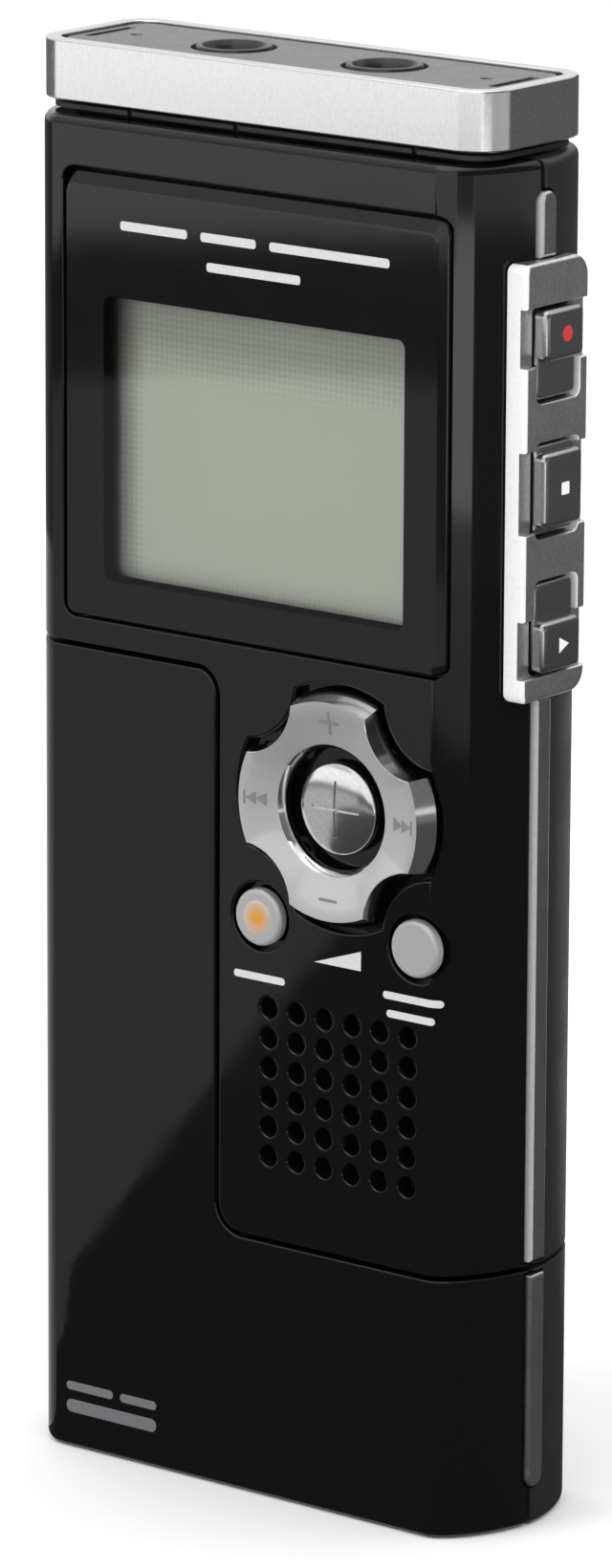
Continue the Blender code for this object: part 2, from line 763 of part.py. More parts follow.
def release_button():
    outline = rounded((KEYS_X - 3.9, KEYS_X + 3.9), (23.6, 26.6), 0.7, 3)
    button = soften(prism("release_button", [outline], 4.9, BACK + 0.15, "Y"), 0.15, 1)
    flange = box("release_flange", (KEYS_X - 4.8, KEYS_X + 4.8), (4.6, 5.25), (22.7, 27.5))
    join(button, flange)
    as_part(button, SATIN_BLACK)
    return set_origin(button, KEYS_X, BACK, 25.1)


# ---------------------------------------------------------------- battery unit

def battery_cavity():
    hollow = prism("battery_cavity", [body_section(WALL)], WALL, COLUMN_TOP)
    return keep(hollow, battery_zone("battery_zone_inner", GAP + WALL))


def sleeve_opening():
    xs = grown(USB_X, 1.35 + GAP)
    ys = grown(USB_Y, 1.2 + GAP)
    return box("sleeve_opening", xs, ys, (10.0, FAR))


def battery_front_shell():
    shell = body_block("battery_unit_front_shell")
    keep(shell, front_half())
    keep(shell, battery_zone("battery_zone_shell", GAP))
    cut(shell, battery_cavity(), sleeve_opening(), pad_openings(), trim_channels())
    join(shell, boss("foot_screw_boss", FOOT_SCREW, -INNER - GAP, PARTING - GAP, 1.5))
    cut(shell, boss("foot_screw_bore", FOOT_SCREW, -4.2, 5.0, SCREW_SHANK + GAP))
    return as_part(shell, GLOSS_BLACK)


def battery_rear_shell():
    shell = body_block("battery_unit_rear_shell")
    keep(shell, back_half())
    keep(shell, battery_zone("battery_zone_shell_rear", GAP))
    cut(shell, battery_cavity(), sleeve_opening(), pad_openings(), trim_channels())
    cover_gap = grown(COVER_X, GAP)
    rail = grown(COVER_X, COVER_LIP + GAP)
    top = COVER_Z[1] + GAP
    cut(shell, box("cover_opening", cover_gap, (4.0, FAR), (-FAR, top)))
    cut(shell, box("cover_rails", rail, (4.7, 6.05), (-FAR, top)))
    join(shell, boss("foot_screw_seat", FOOT_SCREW, PARTING + GAP, INNER + GAP, 1.5))
    cut(shell, boss("foot_screw_rear_bore", FOOT_SCREW, -2.0, FAR, SCREW_SHANK + GAP))
    cut(shell, boss("foot_screw_counterbore", FOOT_SCREW, BACK - 1.2, FAR, SCREW_HEAD + GAP))
    return as_part(shell, SATIN_BLACK)


def battery_cover():
    plate = box("battery_cover", COVER_X, (5.25, BACK - 0.03), COVER_Z)
    tongue = box("cover_tongue", grown(COVER_X, COVER_LIP), (5.25, 5.75), COVER_Z)
    join(plate, tongue)
    grip = prism(
        "cover_grip",
        [rounded((-12.6, -7.0), (5.0 + 1.6 * i, 5.6 + 1.6 * i), 0.25, 2) for i in range(4)],
        BACK - 0.3,
        FAR,
        "Y",
    )
    cut(plate, grip)
    as_part(plate, SATIN_BLACK)
    return set_origin(plate, sum(COVER_X) / 2, BACK, COVER_Z[0])


def battery_cell():
    cell = cylinder("battery_cell", CELL_X, CELL_Y, CELL_RADIUS,
                    CELL_BOTTOM, CELL_BOTTOM + CELL_LENGTH - 1.0, "Z", 28)
    soften(cell, 0.4, 1)
    top = CELL_BOTTOM + CELL_LENGTH
    join(cell, cylinder("cell_nub", CELL_X, CELL_Y, 1.8, top - 2.0, top, "Z", 16))
    return as_part(cell, CELL_WRAP)


def battery_contacts():
    plus = box("battery_plus_contact", (CELL_X - 4.0, CELL_X + 4.0), (-3.6, 3.4), (51.0, 51.4))
    as_part(plus, BRIGHT_METAL)
    turns, per_turn, base, top = 3.5, 12, 1.9, 5.6
    curve = bpy.data.curves.new("battery_spring", "CURVE")
    curve.dimensions = "3D"
    curve.bevel_depth = 0.28 * MM
    curve.bevel_resolution = 1
    curve.use_fill_caps = True
    spline = curve.splines.new("POLY")
    count = int(turns * per_turn)
    spline.points.add(count)
    for i, point in enumerate(spline.points):
        share = i / count
        a = 2 * math.pi * turns * share
        radius = 3.6 - 1.8 * share
        x = CELL_X + radius * math.cos(a)
        y = CELL_Y + radius * math.sin(a)
        point.co = (x * MM, y * MM, (base + (top - base) * share) * MM, 1.0)
    guide = bpy.data.objects.new("battery_spring_path", curve)
    bpy.context.scene.collection.objects.link(guide)
    bpy.context.view_layer.update()
    graph = bpy.context.evaluated_depsgraph_get()
    mesh = bpy.data.meshes.new_from_object(guide.evaluated_get(graph))
    bpy.data.objects.remove(guide, do_unlink=True)
    shape = bmesh.new()
    shape.from_mesh(mesh)
    bmesh.ops.remove_doubles(shape, verts=shape.verts, dist=1e-6)
    bmesh.ops.recalc_face_normals(shape, faces=shape.faces)
    shape.to_mesh(mesh)
    shape.free()
    as_part(new_solid("battery_spring", mesh), BRIGHT_METAL)


def power_contacts():
    """Sprung pins under the control unit meet pads on top of the battery column."""
    for name, x in POWER_X.items():
        pin = box("power_pin_" + name, grown((x, x), PIN_SIZE[0]), grown((0, 0), PIN_SIZE[1]), PIN_Z)
        as_part(pin, GOLD)
        pad = box("power_pad_" + name, grown((x, x), PAD_SIZE[0]), grown((0, 0), PAD_SIZE[1]), PAD_Z)
        as_part(pad, GOLD)


def usb_sleeve():
    outer = box("usb_sleeve", grown(USB_X, 1.35), grown(USB_Y, 1.2), (1.8, FOOT_TOP - GAP))
    inner = box("usb_sleeve_bore", grown(USB_X, 0.4), grown(USB_Y, 0.4), (3.0, FAR))
    return as_part(cut(outer, inner), MATT_BLACK)


# ---------------------------------------------------------------- screws

def screw(name, place, tip):
    """A pan-head screw turned about its axis, driven from the back."""
    head_top = BACK - 0.35
    profile = [(0.0, head_top), (SCREW_HEAD * 0.8, head_top), (SCREW_HEAD, head_top - 0.2),
               (SCREW_HEAD, head_top - 0.55), (SCREW_SHANK, head_top - 0.55),
               (SCREW_SHANK, tip + 0.5), (0.0, tip)]
    mesh = bpy.data.meshes.new(name)
    shape = bmesh.new()
    points = [shape.verts.new((r * MM, 0.0, z * MM)) for r, z in profile]
    for a, b in zip(points, points[1:]):
        shape.edges.new((a, b))
    bmesh.ops.spin(shape, geom=shape.verts[:] + shape.edges[:], angle=2 * math.pi, steps=12,
                   axis=(0, 0, 1), cent=(0, 0, 0))
    bmesh.ops.remove_doubles(shape, verts=shape.verts, dist=1e-6)
    turn = Matrix(((1, 0, 0, place[0] * MM), (0, 0, 1, 0), (0, -1, 0, place[1] * MM), (0, 0, 0, 1)))
    bmesh.ops.transform(shape, matrix=turn, verts=shape.verts)
    bmesh.ops.recalc_face_normals(shape, faces=shape.faces)
    shape.to_mesh(mesh)
    shape.free()
    piece = new_solid(name, mesh)
    across = box(name + "_slot", (place[0] - 0.65, place[0] + 0.65),
                 (head_top - 0.3, FAR), (place[1] - 0.13, place[1] + 0.13))
    upright = box(name + "_cross_slot", (place[0] - 0.13, place[0] + 0.13),
                  (head_top - 0.3, FAR), (place[1] - 0.65, place[1] + 0.65))
    cut(piece, across, upright)
    return as_part(piece, BRIGHT_METAL)


# ---------------------------------------------------------------- build

clear_scene()
PARTS = make_group("voice_recorder")
CUTTERS = make_group("cutters")

GLOSS_BLACK = finish("gloss_black_shell", (0.012, 0.012, 0.014), 0.12)
SATIN_BLACK = finish("satin_black_plastic", (0.02, 0.02, 0.022), 0.4)
MATT_BLACK = finish("matt_black_plastic", (0.015, 0.015, 0.015), 0.7)
SATIN_METAL = finish("satin_silver", (0.62, 0.62, 0.63), 0.3, 1.0)
PLATE_METAL = finish("plate_grey", (0.4, 0.4, 0.4), 0.4, 0.8)
BRIGHT_METAL = finish("bright_metal", (0.75, 0.75, 0.74), 0.2, 1.0)
GOLD = finish("gold_contact", (0.8, 0.6, 0.25), 0.25, 1.0)
WINDOW = finish("display_window_tint", (0.02, 0.02, 0.02), 0.08)
LCD = finish("liquid_crystal", (0.42, 0.44, 0.39), 0.35)
LIGHT_GUIDE = finish("light_guide", (0.8, 0.82, 0.78), 0.3)
WHITE_PLASTIC = finish("white_plastic", (0.75, 0.75, 0.73), 0.5)
RUBBER = finish("black_rubber", (0.02, 0.02, 0.02), 0.85)
BOARD_GREEN = finish("board_green", (0.02, 0.14, 0.06), 0.45)
CELL_WRAP = finish("cell_wrap", (0.16, 0.17, 0.19), 0.35, 0.2)
KEY_SILVER = finish("key_silver", (0.7, 0.7, 0.71), 0.3, 0.6)

front_shell()
rear_shell()
cap_band()
cap_plate()
neck()
jack("earphone_jack", -JACK_X)
jack("microphone_jack", JACK_X)
microphone("left_microphone", -1)
microphone("right_microphone", 1)
display()
main_board()
chips()
dome_sheet()
side_switches()
speaker()
usb_plug()
side_bracket()
side_trims()
for side_key_name in SIDE_KEYS:
    side_key(side_key_name)
nav_ring()
round_key("ok_button", (KEYS_X, NAV_Z), OK_RADIUS, FRONT - 0.45, BRIGHT_METAL, 1.2)
for small_key, centre in small_key_centres().items():
    round_key(small_key, centre, SMALL_KEY_RADIUS, FRONT - 0.3, KEY_SILVER, 0.9)
hold_switch()
release_button()
battery_front_shell()
battery_rear_shell()
battery_cover()
battery_cell()
battery_contacts()
power_contacts()
usb_sleeve()
for screw_name, screw_place in CONTROL_SCREWS.items():
    screw(screw_name, screw_place, -3.6)
screw("battery_unit_screw", FOOT_SCREW, -3.6)
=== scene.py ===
"""Looks of the handheld voice recorder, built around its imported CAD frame.

Lengths are in millimetres in the recorder's own frame and become metres where a mesh
is made: +Z runs along the length, the display faces -Y, the transport keys are on +X.
"""

import json
from math import atan2, cos, hypot, pi, radians, sin, sqrt

import bmesh
import bpy
from mathutils import Matrix, Vector

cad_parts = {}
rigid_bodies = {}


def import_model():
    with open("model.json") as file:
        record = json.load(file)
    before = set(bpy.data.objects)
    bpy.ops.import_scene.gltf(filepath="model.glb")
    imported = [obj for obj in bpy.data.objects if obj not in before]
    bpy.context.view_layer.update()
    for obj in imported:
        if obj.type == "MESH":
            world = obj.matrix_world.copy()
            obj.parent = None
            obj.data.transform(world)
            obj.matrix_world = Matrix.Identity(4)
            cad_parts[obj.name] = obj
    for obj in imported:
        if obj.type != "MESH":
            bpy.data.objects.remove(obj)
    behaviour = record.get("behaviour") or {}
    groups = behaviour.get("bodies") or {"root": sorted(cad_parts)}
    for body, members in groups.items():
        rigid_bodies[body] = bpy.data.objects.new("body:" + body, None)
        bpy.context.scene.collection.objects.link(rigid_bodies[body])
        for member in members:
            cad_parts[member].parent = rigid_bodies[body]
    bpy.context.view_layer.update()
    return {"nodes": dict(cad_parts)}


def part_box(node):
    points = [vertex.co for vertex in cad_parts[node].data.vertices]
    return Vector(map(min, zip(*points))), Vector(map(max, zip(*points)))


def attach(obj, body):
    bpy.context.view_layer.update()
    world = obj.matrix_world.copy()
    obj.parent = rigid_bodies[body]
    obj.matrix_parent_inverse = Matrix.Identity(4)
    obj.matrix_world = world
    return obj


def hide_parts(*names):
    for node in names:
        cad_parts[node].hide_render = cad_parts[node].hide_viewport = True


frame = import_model()

MM = 0.001


def node_box(*nodes):
    """Lowest and highest corner of some CAD nodes together, in millimetres."""
    boxes = [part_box(node) for node in nodes]
    low = [min(box[0][axis] for box in boxes) / MM for axis in range(3)]
    high = [max(box[1][axis] for box in boxes) / MM for axis in range(3)]
    return low, high


# ---- sizes from the frame

BODY_LOW, BODY_HIGH = node_box("front_shell", "rear_shell",
                               "battery_unit_front_shell", "battery_unit_rear_shell")
FRONT, BACK = BODY_LOW[1], BODY_HIGH[1]
HALF_WIDTH = BODY_HIGH[0]
HALF_DEPTH = BACK
BODY_TOP = BODY_HIGH[2]
CAP_LOW, CAP_HIGH = node_box("top_cap_band")
PLATE_LOW, PLATE_HIGH = node_box("top_plate")
WINDOW_LOW, WINDOW_HIGH = node_box("display_window")
BRACKET_LOW, BRACKET_HIGH = node_box("side_button_bracket")
RING_LOW, RING_HIGH = node_box("nav_ring")
OK_LOW, OK_HIGH = node_box("ok_button")
COVER_LOW, COVER_HIGH = node_box("battery_cover")
PLUG_LOW, PLUG_HIGH = node_box("usb_plug_shell")

CORNER = 3.9  # width of the rolled side edge
ROLL = 1.65  # superellipse exponent of the rolled side edge
RIM = 0.6  # rounding of the body's ends
WALL = 1.4
GAP = 0.3  # clearance between pieces
PARTING = -0.7  # where the front and rear shells meet
INNER = HALF_DEPTH - WALL
FAR = 60.0  # beyond the object's sides; twice this is above its top
SEAM_EDGE = 0.13  # rounding along the seams

COLUMN_RIGHT = -1.67  # the battery unit's column and foot
COLUMN_TOP = 55.5
FOOT_TOP = 17.8
SEAM_CORNER = 1.9

WINDOW_X = (WINDOW_LOW[0], WINDOW_HIGH[0])
WINDOW_Z = (WINDOW_LOW[2], WINDOW_HIGH[2])
SIGHT_X = (-11.3, 13.15)  # clear part of the display window
SIGHT_Z = (60.0, 78.75)
LENS_X = (-12.4, 13.3)  # the panel behind it
LENS_Z = (59.9, 80.6)

KEYS_X = (OK_LOW[0] + OK_HIGH[0]) / 2
NAV_Z = (OK_LOW[2] + OK_HIGH[2]) / 2
NAV_FOOT_RADIUS = (RING_HIGH[0] - RING_LOW[0]) / 2  # the ring's foot is wider than its face
NAV_FOOT_LOBE = 6.3
NAV_RADIUS = NAV_FOOT_RADIUS - 0.6
NAV_LOBE = 6.0
NAV_HOLE = 4.05
NAV_FRONT = RING_LOW[1]
NAV_DISH = 0.5
NAV_POST_REACH = 4.9
MARK_REACH = 5.85
WELL_DEPTH = 0.8
OK_RADIUS = OK_HIGH[0] - KEYS_X
SMALL_KEY_RADIUS = 1.9
SMALL_KEY_Z = 39.45
SMALL_KEY_OFFSET = 6.35
SMALL_KEYS = {
    "erase_button": (KEYS_X - SMALL_KEY_OFFSET, SMALL_KEY_Z),
    "folder_button": (KEYS_X + SMALL_KEY_OFFSET, SMALL_KEY_Z),
}
GRILLE_COUNT = 6
GRILLE_PITCH = (2.26, 2.0)
GRILLE_Z = 28.45
GRILLE_RADIUS = 0.68

BRACKET_CORNERS = (0.6, 1.4, 1.4, 0.6)
# Each side key's middle, and where its raised pad is: at its top, middle or bottom
SIDE_KEYS = {"rec": (77.9, 1), "stop": (69.2, 0), "play": (60.3, -1)}
SIDE_KEY_Y = (-2.2, 1.9)
SIDE_KEY_LENGTH = 5.8
SIDE_KEY_RAISED = {"rec": 3.35, "stop": 4.9, "play": 3.35}
SIDE_KEY_FACE = 20.75
SIDE_KEY_STEP = 20.0
TRIM_FACE = 19.62
# How round the lower and upper end of each trim is
TRIMS = {"upper_side_trim": (0.05, 0.78), "middle_side_trim": (0.05, 0.05), "lower_side_trim": (0.78, 0.05)}

JACK_X = 6.1
JACK_RADIUS = 2.5
MIC_X = 14.2
MIC_SLIT_X = 16.35
CONTROL_SCREWS = {
    "upper_left_screw": (-14.8, 86.4),
    "upper_right_screw": (14.8, 86.4),
    "lower_left_screw": (0.9, 36.4),
    "lower_right_screw": (14.9, 36.0),
}
FOOT_SCREW = (-1.5, 9.5)
POWER_PIN_X = (-13.0, -7.0)
HOLD_SLOT_Z = (65.2, 73.1)
SCREW_HEAD = 1.1
SCREW_SHANK = 0.65
BOSS_RADIUS = 1.8


# ---- outlines

def circle(u, v, radius, sides=48, start=0):
    angles = [radians(start) + 2 * pi * i / sides for i in range(sides)]
    return [(u + radius * cos(a), v + radius * sin(a)) for a in angles]


def ring_circle(radius, sides=64, start=0):
    """A circle about the middle of the ring key."""
    return circle(KEYS_X, NAV_Z, radius, sides, start)


NAV_POSTS = ring_circle(NAV_POST_REACH, 4, 45)


def grown(pair, amount):
    return (pair[0] - amount, pair[1] + amount)


def rounded(us, vs, radius, steps=8):
    """A rectangle between pairs of coordinates, with round corners."""
    return uneven(us, vs, [radius] * 4, steps)


def uneven(us, vs, radii, steps=8):
    """A rectangle whose four corners, from low-low round to low-high, have their own radii."""
    points = []
    for i, radius in enumerate(radii):
        u = us[1] - radius if i in (1, 2) else us[0] + radius
        v = vs[1] - radius if i > 1 else vs[0] + radius
        for j in range(steps + 1):
            a = radians(180 + 90 * i + 90 * j / steps)
            points.append((u + radius * cos(a), v + radius * sin(a)))
    return points


def centred(width, depth, radius, steps=8):
    return rounded((-width / 2, width / 2), (-depth / 2, depth / 2), radius, steps)


def body_section(inset=0.0, steps=22):
    """The body's cross-section: flat front and back, rolled sides."""
    half_width = HALF_WIDTH - inset
    half_depth = HALF_DEPTH - inset
    corner = CORNER - inset / 2
    quarter = []
    for i in range(steps + 1):
        a = pi / 2 * i / steps
        u = corner * sin(a) ** (2 / ROLL)
        v = half_depth * (1 - cos(a) ** (2 / ROLL))
        quarter.append((half_width - corner + u, -half_depth + v))
    right = quarter + [(x, -y) for x, y in reversed(quarter[:-1])]
    left = [(-x, -y) for x, y in right]
    return right + left


def nav_outline(radius, lobe, growth=0.0, steps=14):
    """Four round lobes joined by hollow diagonals."""
    radius = radius + growth
    half = lobe / 2 + growth
    edge = sqrt(radius**2 - half**2)
    bite_centre = radius * 0.94
    bite = hypot(edge - bite_centre, half - bite_centre)
    start = atan2(half - bite_centre, edge - bite_centre)
    end = atan2(edge - bite_centre, half - bite_centre)
    if end > start:
        end -= 2 * pi
    arc = atan2(half, edge)
    local = [(radius * cos(a), radius * sin(a))
             for a in (-arc + 2 * arc * i / steps for i in range(steps + 1))]
    local += [(bite_centre + bite * cos(a), bite_centre + bite * sin(a))
              for a in (start + (end - start) * i / steps for i in range(1, steps))]
    points = []
    for quarter in range(4):
        turn = radians(90 * quarter)
        points += [(KEYS_X + x * cos(turn) - y * sin(turn),
                    NAV_Z + x * sin(turn) + y * cos(turn)) for x, y in local]
    return points


# ---- mesh helpers

AXES = {
    "Z": Matrix.Identity(4),
    "Y": Matrix(((1, 0, 0, 0), (0, 0, 1, 0), (0, 1, 0, 0), (0, 0, 0, 1))),
    "X": Matrix(((0, 0, 1, 0), (1, 0, 0, 0), (0, 1, 0, 0), (0, 0, 0, 1))),
}
SCENE = bpy.context.scene
TOOLS = bpy.data.collections.new("tools")
SCENE.collection.children.link(TOOLS)
SHOWN = bpy.data.collections.new("recorder")
SCENE.collection.children.link(SHOWN)


def tool(shape):
    """A shape as an object that isn't shown."""
    mesh = bpy.data.meshes.new("piece")
    shape.to_mesh(mesh)
    shape.free()
    piece = bpy.data.objects.new("tool", mesh)
    TOOLS.objects.link(piece)
    piece.hide_render = True
    return piece


def loft(rings, axis="Z", closed=False):
    """A solid through (outline, level) rings along an axis. A closed one joins last to first."""
    shape = bmesh.new()
    loops = [[shape.verts.new((u * MM, v * MM, level * MM)) for u, v in outline]
             for outline, level in rings]
    pairs = list(zip(loops, loops[1:]))
    if closed:
        pairs.append((loops[-1], loops[0]))
    else:
        shape.faces.new(loops[0])
        shape.faces.new(loops[-1])
    for low, high in pairs:
        count = len(low)
        for i in range(count):
            j = (i + 1) % count
            shape.faces.new((low[i], low[j], high[j], high[i]))
    bmesh.ops.transform(shape, matrix=AXES[axis], verts=shape.verts)
    bmesh.ops.recalc_face_normals(shape, faces=shape.faces)
    return tool(shape)


def prism(outline, low, high, axis="Z"):
    return loft([(outline, low), (outline, high)], axis)


def box(xs, ys, zs):
    return prism([(xs[0], ys[0]), (xs[1], ys[0]), (xs[1], ys[1]), (xs[0], ys[1])], zs[0], zs[1])


def quarter_turn(radius, steps=4):
    """(inset, depth) pairs of a round edge, from the flat face to the wall."""
    turns = [pi / 2 * i / steps for i in range(steps + 1)]
    return [(radius * (1 - sin(t)), radius * (1 - cos(t))) for t in turns]


def pillow(outline, low, high, low_edge, high_edge, axis="Z", steps=4):
    """A solid whose two ends have round edges. outline(inset) gives its outline."""
    rings = []
    if low_edge:
        rings += [(outline(i), low + d) for i, d in quarter_turn(low_edge, steps)]
    else:
        rings.append((outline(0.0), low))
    if high_edge:
        rings += [(outline(i), high - d) for i, d in reversed(quarter_turn(high_edge, steps))]
    else:
        rings.append((outline(0.0), high))
    return loft(rings, axis)


def slab(us, vs, radius, *rest, steps=8):
    """A pillow over a rectangle with round corners."""
    return pillow(lambda i: rounded(grown(us, -i), grown(vs, -i), radius - i, steps), *rest)


def flared(outline, surface, bottom, flare, axis="Y", steps=5):
    """A cutter whose mouth widens, so that the rim it leaves is round. outline(growth) is its outline."""
    into = 1 if bottom > surface else -1
    rings = [(outline(flare * 1.6), surface - into * height) for height in (1.5, 0.05 * flare)]
    for growth, depth in quarter_turn(flare, steps)[1:]:
        rings.append((outline(growth), surface + into * depth))
    rings.append((outline(0.0), bottom))
    return loft(rings, axis)


def baked(piece):
    """The piece with its modifiers applied."""
    bpy.context.view_layer.update()
    graph = bpy.context.evaluated_depsgraph_get()
    mesh = bpy.data.meshes.new_from_object(piece.evaluated_get(graph))
    piece.modifiers.clear()
    piece.data = mesh
    return piece


def boolean(piece, others, operation):
    for other in others:
        modifier = piece.modifiers.new(other.name, "BOOLEAN")
        modifier.operation = operation
        modifier.solver = "EXACT"
        modifier.object = other
    return baked(piece)


def cut(piece, *others):
    return boolean(piece, others, "DIFFERENCE")


def keep(piece, other):
    return boolean(piece, [other], "INTERSECT")


def join(piece, *others):
    return boolean(piece, others, "UNION")


def merged(parts):
    """Several solids in one mesh."""
    shape = bmesh.new()
    for part in parts:
        shape.from_mesh(part.data)
    return tool(shape)


def soften(piece, width, segments=3, angle=50):
    """Round the piece's sharp edges."""
    modifier = piece.modifiers.new("Bevel", "BEVEL")
    modifier.width = width * MM
    modifier.segments = segments
    modifier.limit_method = "ANGLE"
    modifier.angle_limit = radians(angle)
    modifier.use_clamp_overlap = False
    return baked(piece)


def show(piece, name, material, body):
    """Put a finished piece on the recorder. With no material, it keeps those it has."""
    TOOLS.objects.unlink(piece)
    SHOWN.objects.link(piece)
    piece.name = name
    piece.hide_render = False
    if material is not None:
        piece.data.materials.clear()
        piece.data.materials.append(material)
    piece.data.shade_smooth()
    piece.data.set_sharp_from_angle(angle=radians(34))
    normals = piece.modifiers.new("Weighted Normal", "WEIGHTED_NORMAL")
    normals.keep_sharp = True
    normals.weight = 80
    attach(piece, body)


def stand_in(piece, node, material, body):
    """Put a finished piece on the recorder in place of a CAD node."""
    show(piece, node + "_look", material, body)
    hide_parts(node)


# ---- materials

# Sockets of a colour Mix node, whose names aren't unique
MIX_SHARE, MIX_FIRST, MIX_SECOND, MIX_COLOUR = 0, 6, 7, 2
PLASTIC_IOR = 1.44


def fill(owner, node, inputs):
    """Give a node's sockets their values, or join them to other nodes' outputs."""
    for socket, value in inputs.items():
        if isinstance(value, bpy.types.NodeSocket):
            owner.node_tree.links.new(value, node.inputs[socket])
        else:
            node.inputs[socket].default_value = value


def shader_node(owner, kind, inputs=None, **settings):
    node = owner.node_tree.nodes.new("ShaderNode" + kind)
    for setting, value in settings.items():
        setattr(node, setting, value)
    fill(owner, node, inputs or {})
    return node


def set_surface(owner, shader):
    """Make a shader's output the surface of a material, or the background of the world."""
    tree = owner.node_tree
    output = next(node for node in tree.nodes if node.type.startswith("OUTPUT"))
    tree.links.new(shader, output.inputs["Surface"])


def feed(material, **sockets):
    """Fill sockets of the material's Principled shader."""
    inputs = {socket.replace("_", " "): value for socket, value in sockets.items()}
    fill(material, material.node_tree.nodes["Principled BSDF"], inputs)
    return material


def new_material(name, colour, roughness, metallic=0.0, **sockets):
    material = bpy.data.materials.new(name)
    material.use_nodes = True
    return feed(material, Base_Color=(*colour, 1.0), Roughness=roughness, Metallic=metallic, **sockets)


def bare_material(name):
    """A material that has no shader yet."""
    material = bpy.data.materials.new(name)
    material.use_nodes = True
    nodes = material.node_tree.nodes
    nodes.remove(nodes["Principled BSDF"])
    return material


def place_of(material, stretch=(1, 1, 1)):
    """Object coordinates in millimetres, stretched for a grain with a direction."""
    coordinate = shader_node(material, "TexCoord").outputs["Object"]
    scale = [s / MM for s in stretch]
    return shader_node(material, "Mapping", {"Vector": coordinate, "Scale": scale}).outputs["Vector"]


def along(material, axis):
    """How far along an axis a point lies, in millimetres."""
    return shader_node(material, "SeparateXYZ", {"Vector": place_of(material)}).outputs[axis]


def noise(material, scale, detail=3.0, stretch=(1, 1, 1)):
    """Noise between 0 and 1. scale is per millimetre."""
    inputs = {"Scale": scale, "Detail": detail, "Vector": place_of(material, stretch)}
    return shader_node(material, "TexNoise", inputs).outputs["Fac"]


def span(material, value, low, high, start=0.3, end=0.7, clamp=True):
    """A value between start and end, spread from low to high."""
    inputs = {"Value": value, "From Min": start, "From Max": end, "To Min": low, "To Max": high}
    return shader_node(material, "MapRange", inputs, clamp=clamp).outputs["Result"]


def times(material, a, b):
    return shader_node(material, "Math", {0: a, 1: b}, operation="MULTIPLY").outputs["Value"]


def wave(material, axis, pitch):
    """A saw-tooth from 0 to 1 that repeats along an axis."""
    turns = span(material, along(material, axis), 0.0, 1.0, 0.0, pitch, clamp=False)
    return shader_node(material, "Math", {0: turns}, operation="FRACT").outputs["Value"]


def vary_roughness(material, value, low, high):
    return feed(material, Roughness=span(material, value, low, high))


def vary_colour(material, value, dark, light, start=0.3, end=0.7):
    """Colour the material from dark to light, as a value goes from start to end."""
    share = span(material, value, 0.0, 1.0, start, end)
    inputs = {MIX_SHARE: share, MIX_FIRST: (*dark, 1.0), MIX_SECOND: (*light, 1.0)}
    mix = shader_node(material, "Mix", inputs, data_type="RGBA")
    return feed(material, Base_Color=mix.outputs[MIX_COLOUR])


def bump(material, value, strength, distance):
    """Grain of a given depth in millimetres."""
    inputs = {"Strength": strength, "Distance": distance * MM, "Height": value}
    return feed(material, Normal=shader_node(material, "Bump", inputs).outputs["Normal"])


def gloss_black():
    """Polished black shell: faint moulding waves and a few rubbed areas."""
    material = new_material("gloss_black_shell", (0.0035, 0.0035, 0.004), 0.06, IOR=PLASTIC_IOR)
    vary_roughness(material, noise(material, 0.25, 4.0), 0.035, 0.085)
    return bump(material, noise(material, 0.35, 1.0), 0.05, 0.02)


def grained(name, colour, roughness, grain, depth, metallic=0.0, mottle=0.04, **sockets):
    """Moulded or blasted surface with a fine grain, grain per millimetre."""
    material = new_material(name, colour, roughness, metallic, **sockets)
    fine = noise(material, grain, 2.0)
    light = [min(1.0, c * (1.0 + mottle) + 0.001) for c in colour]
    dark = [c * (1.0 - mottle) for c in colour]
    vary_colour(material, noise(material, grain * 0.6, 3.0), dark, light)
    vary_roughness(material, noise(material, 0.4, 3.0), roughness * 0.92, roughness * 1.1)
    return bump(material, fine, 0.6, depth)


def brushed(name, colour, roughness, stretch, depth=0.004):
    """Metal brushed along one direction."""
    material = new_material(name, colour, roughness, 1.0)
    streaks = noise(material, 3.0, 4.0, stretch)
    vary_colour(material, streaks, [c * 0.9 for c in colour], [min(1.0, c * 1.06) for c in colour])
    vary_roughness(material, streaks, roughness * 0.85, roughness * 1.2)
    return bump(material, streaks, 0.35, depth)


def ring_paint_with_painted_shade():
    """Silver paint turned in fine circles round the ring, with painted shade that makes it a little darker
    towards its top.
    """
    material = new_material("ring_silver_paint_painted_shade", (0.4, 0.4, 0.4), 0.34, 0.4)
    turned = noise(material, 9.0, 2.0)
    # Painted shade: the colour darkens towards the ring's top.
    painted_top_shade = span(material, along(material, "Z"), 1.0, 0.56, NAV_Z - 8.0, NAV_Z + 8.0)
    tone = times(material, painted_top_shade, span(material, turned, 0.97, 1.03))
    vary_colour(material, tone, (0.0, 0.0, 0.0), (0.50, 0.50, 0.50), 0.0, 1.0)
    return bump(material, turned, 0.5, 0.002)


def glowing_dot():
    """Amber in the middle, fading to the key's silver."""
    material = new_material("erase_amber", (0.6, 0.4, 0.2), 0.35, 0.2)
    x, z = SMALL_KEYS["erase_button"]
    flat = shader_node(material, "VectorMath", {0: place_of(material), 1: (1, 0, 1)}, operation="MULTIPLY")
    away = shader_node(material, "VectorMath", {0: flat.outputs["Vector"], 1: (x, 0, z)},
                       operation="DISTANCE")
    return vary_colour(material, away.outputs["Value"], (0.62, 0.27, 0.04), (0.44, 0.40, 0.36), 0.3, 1.15)


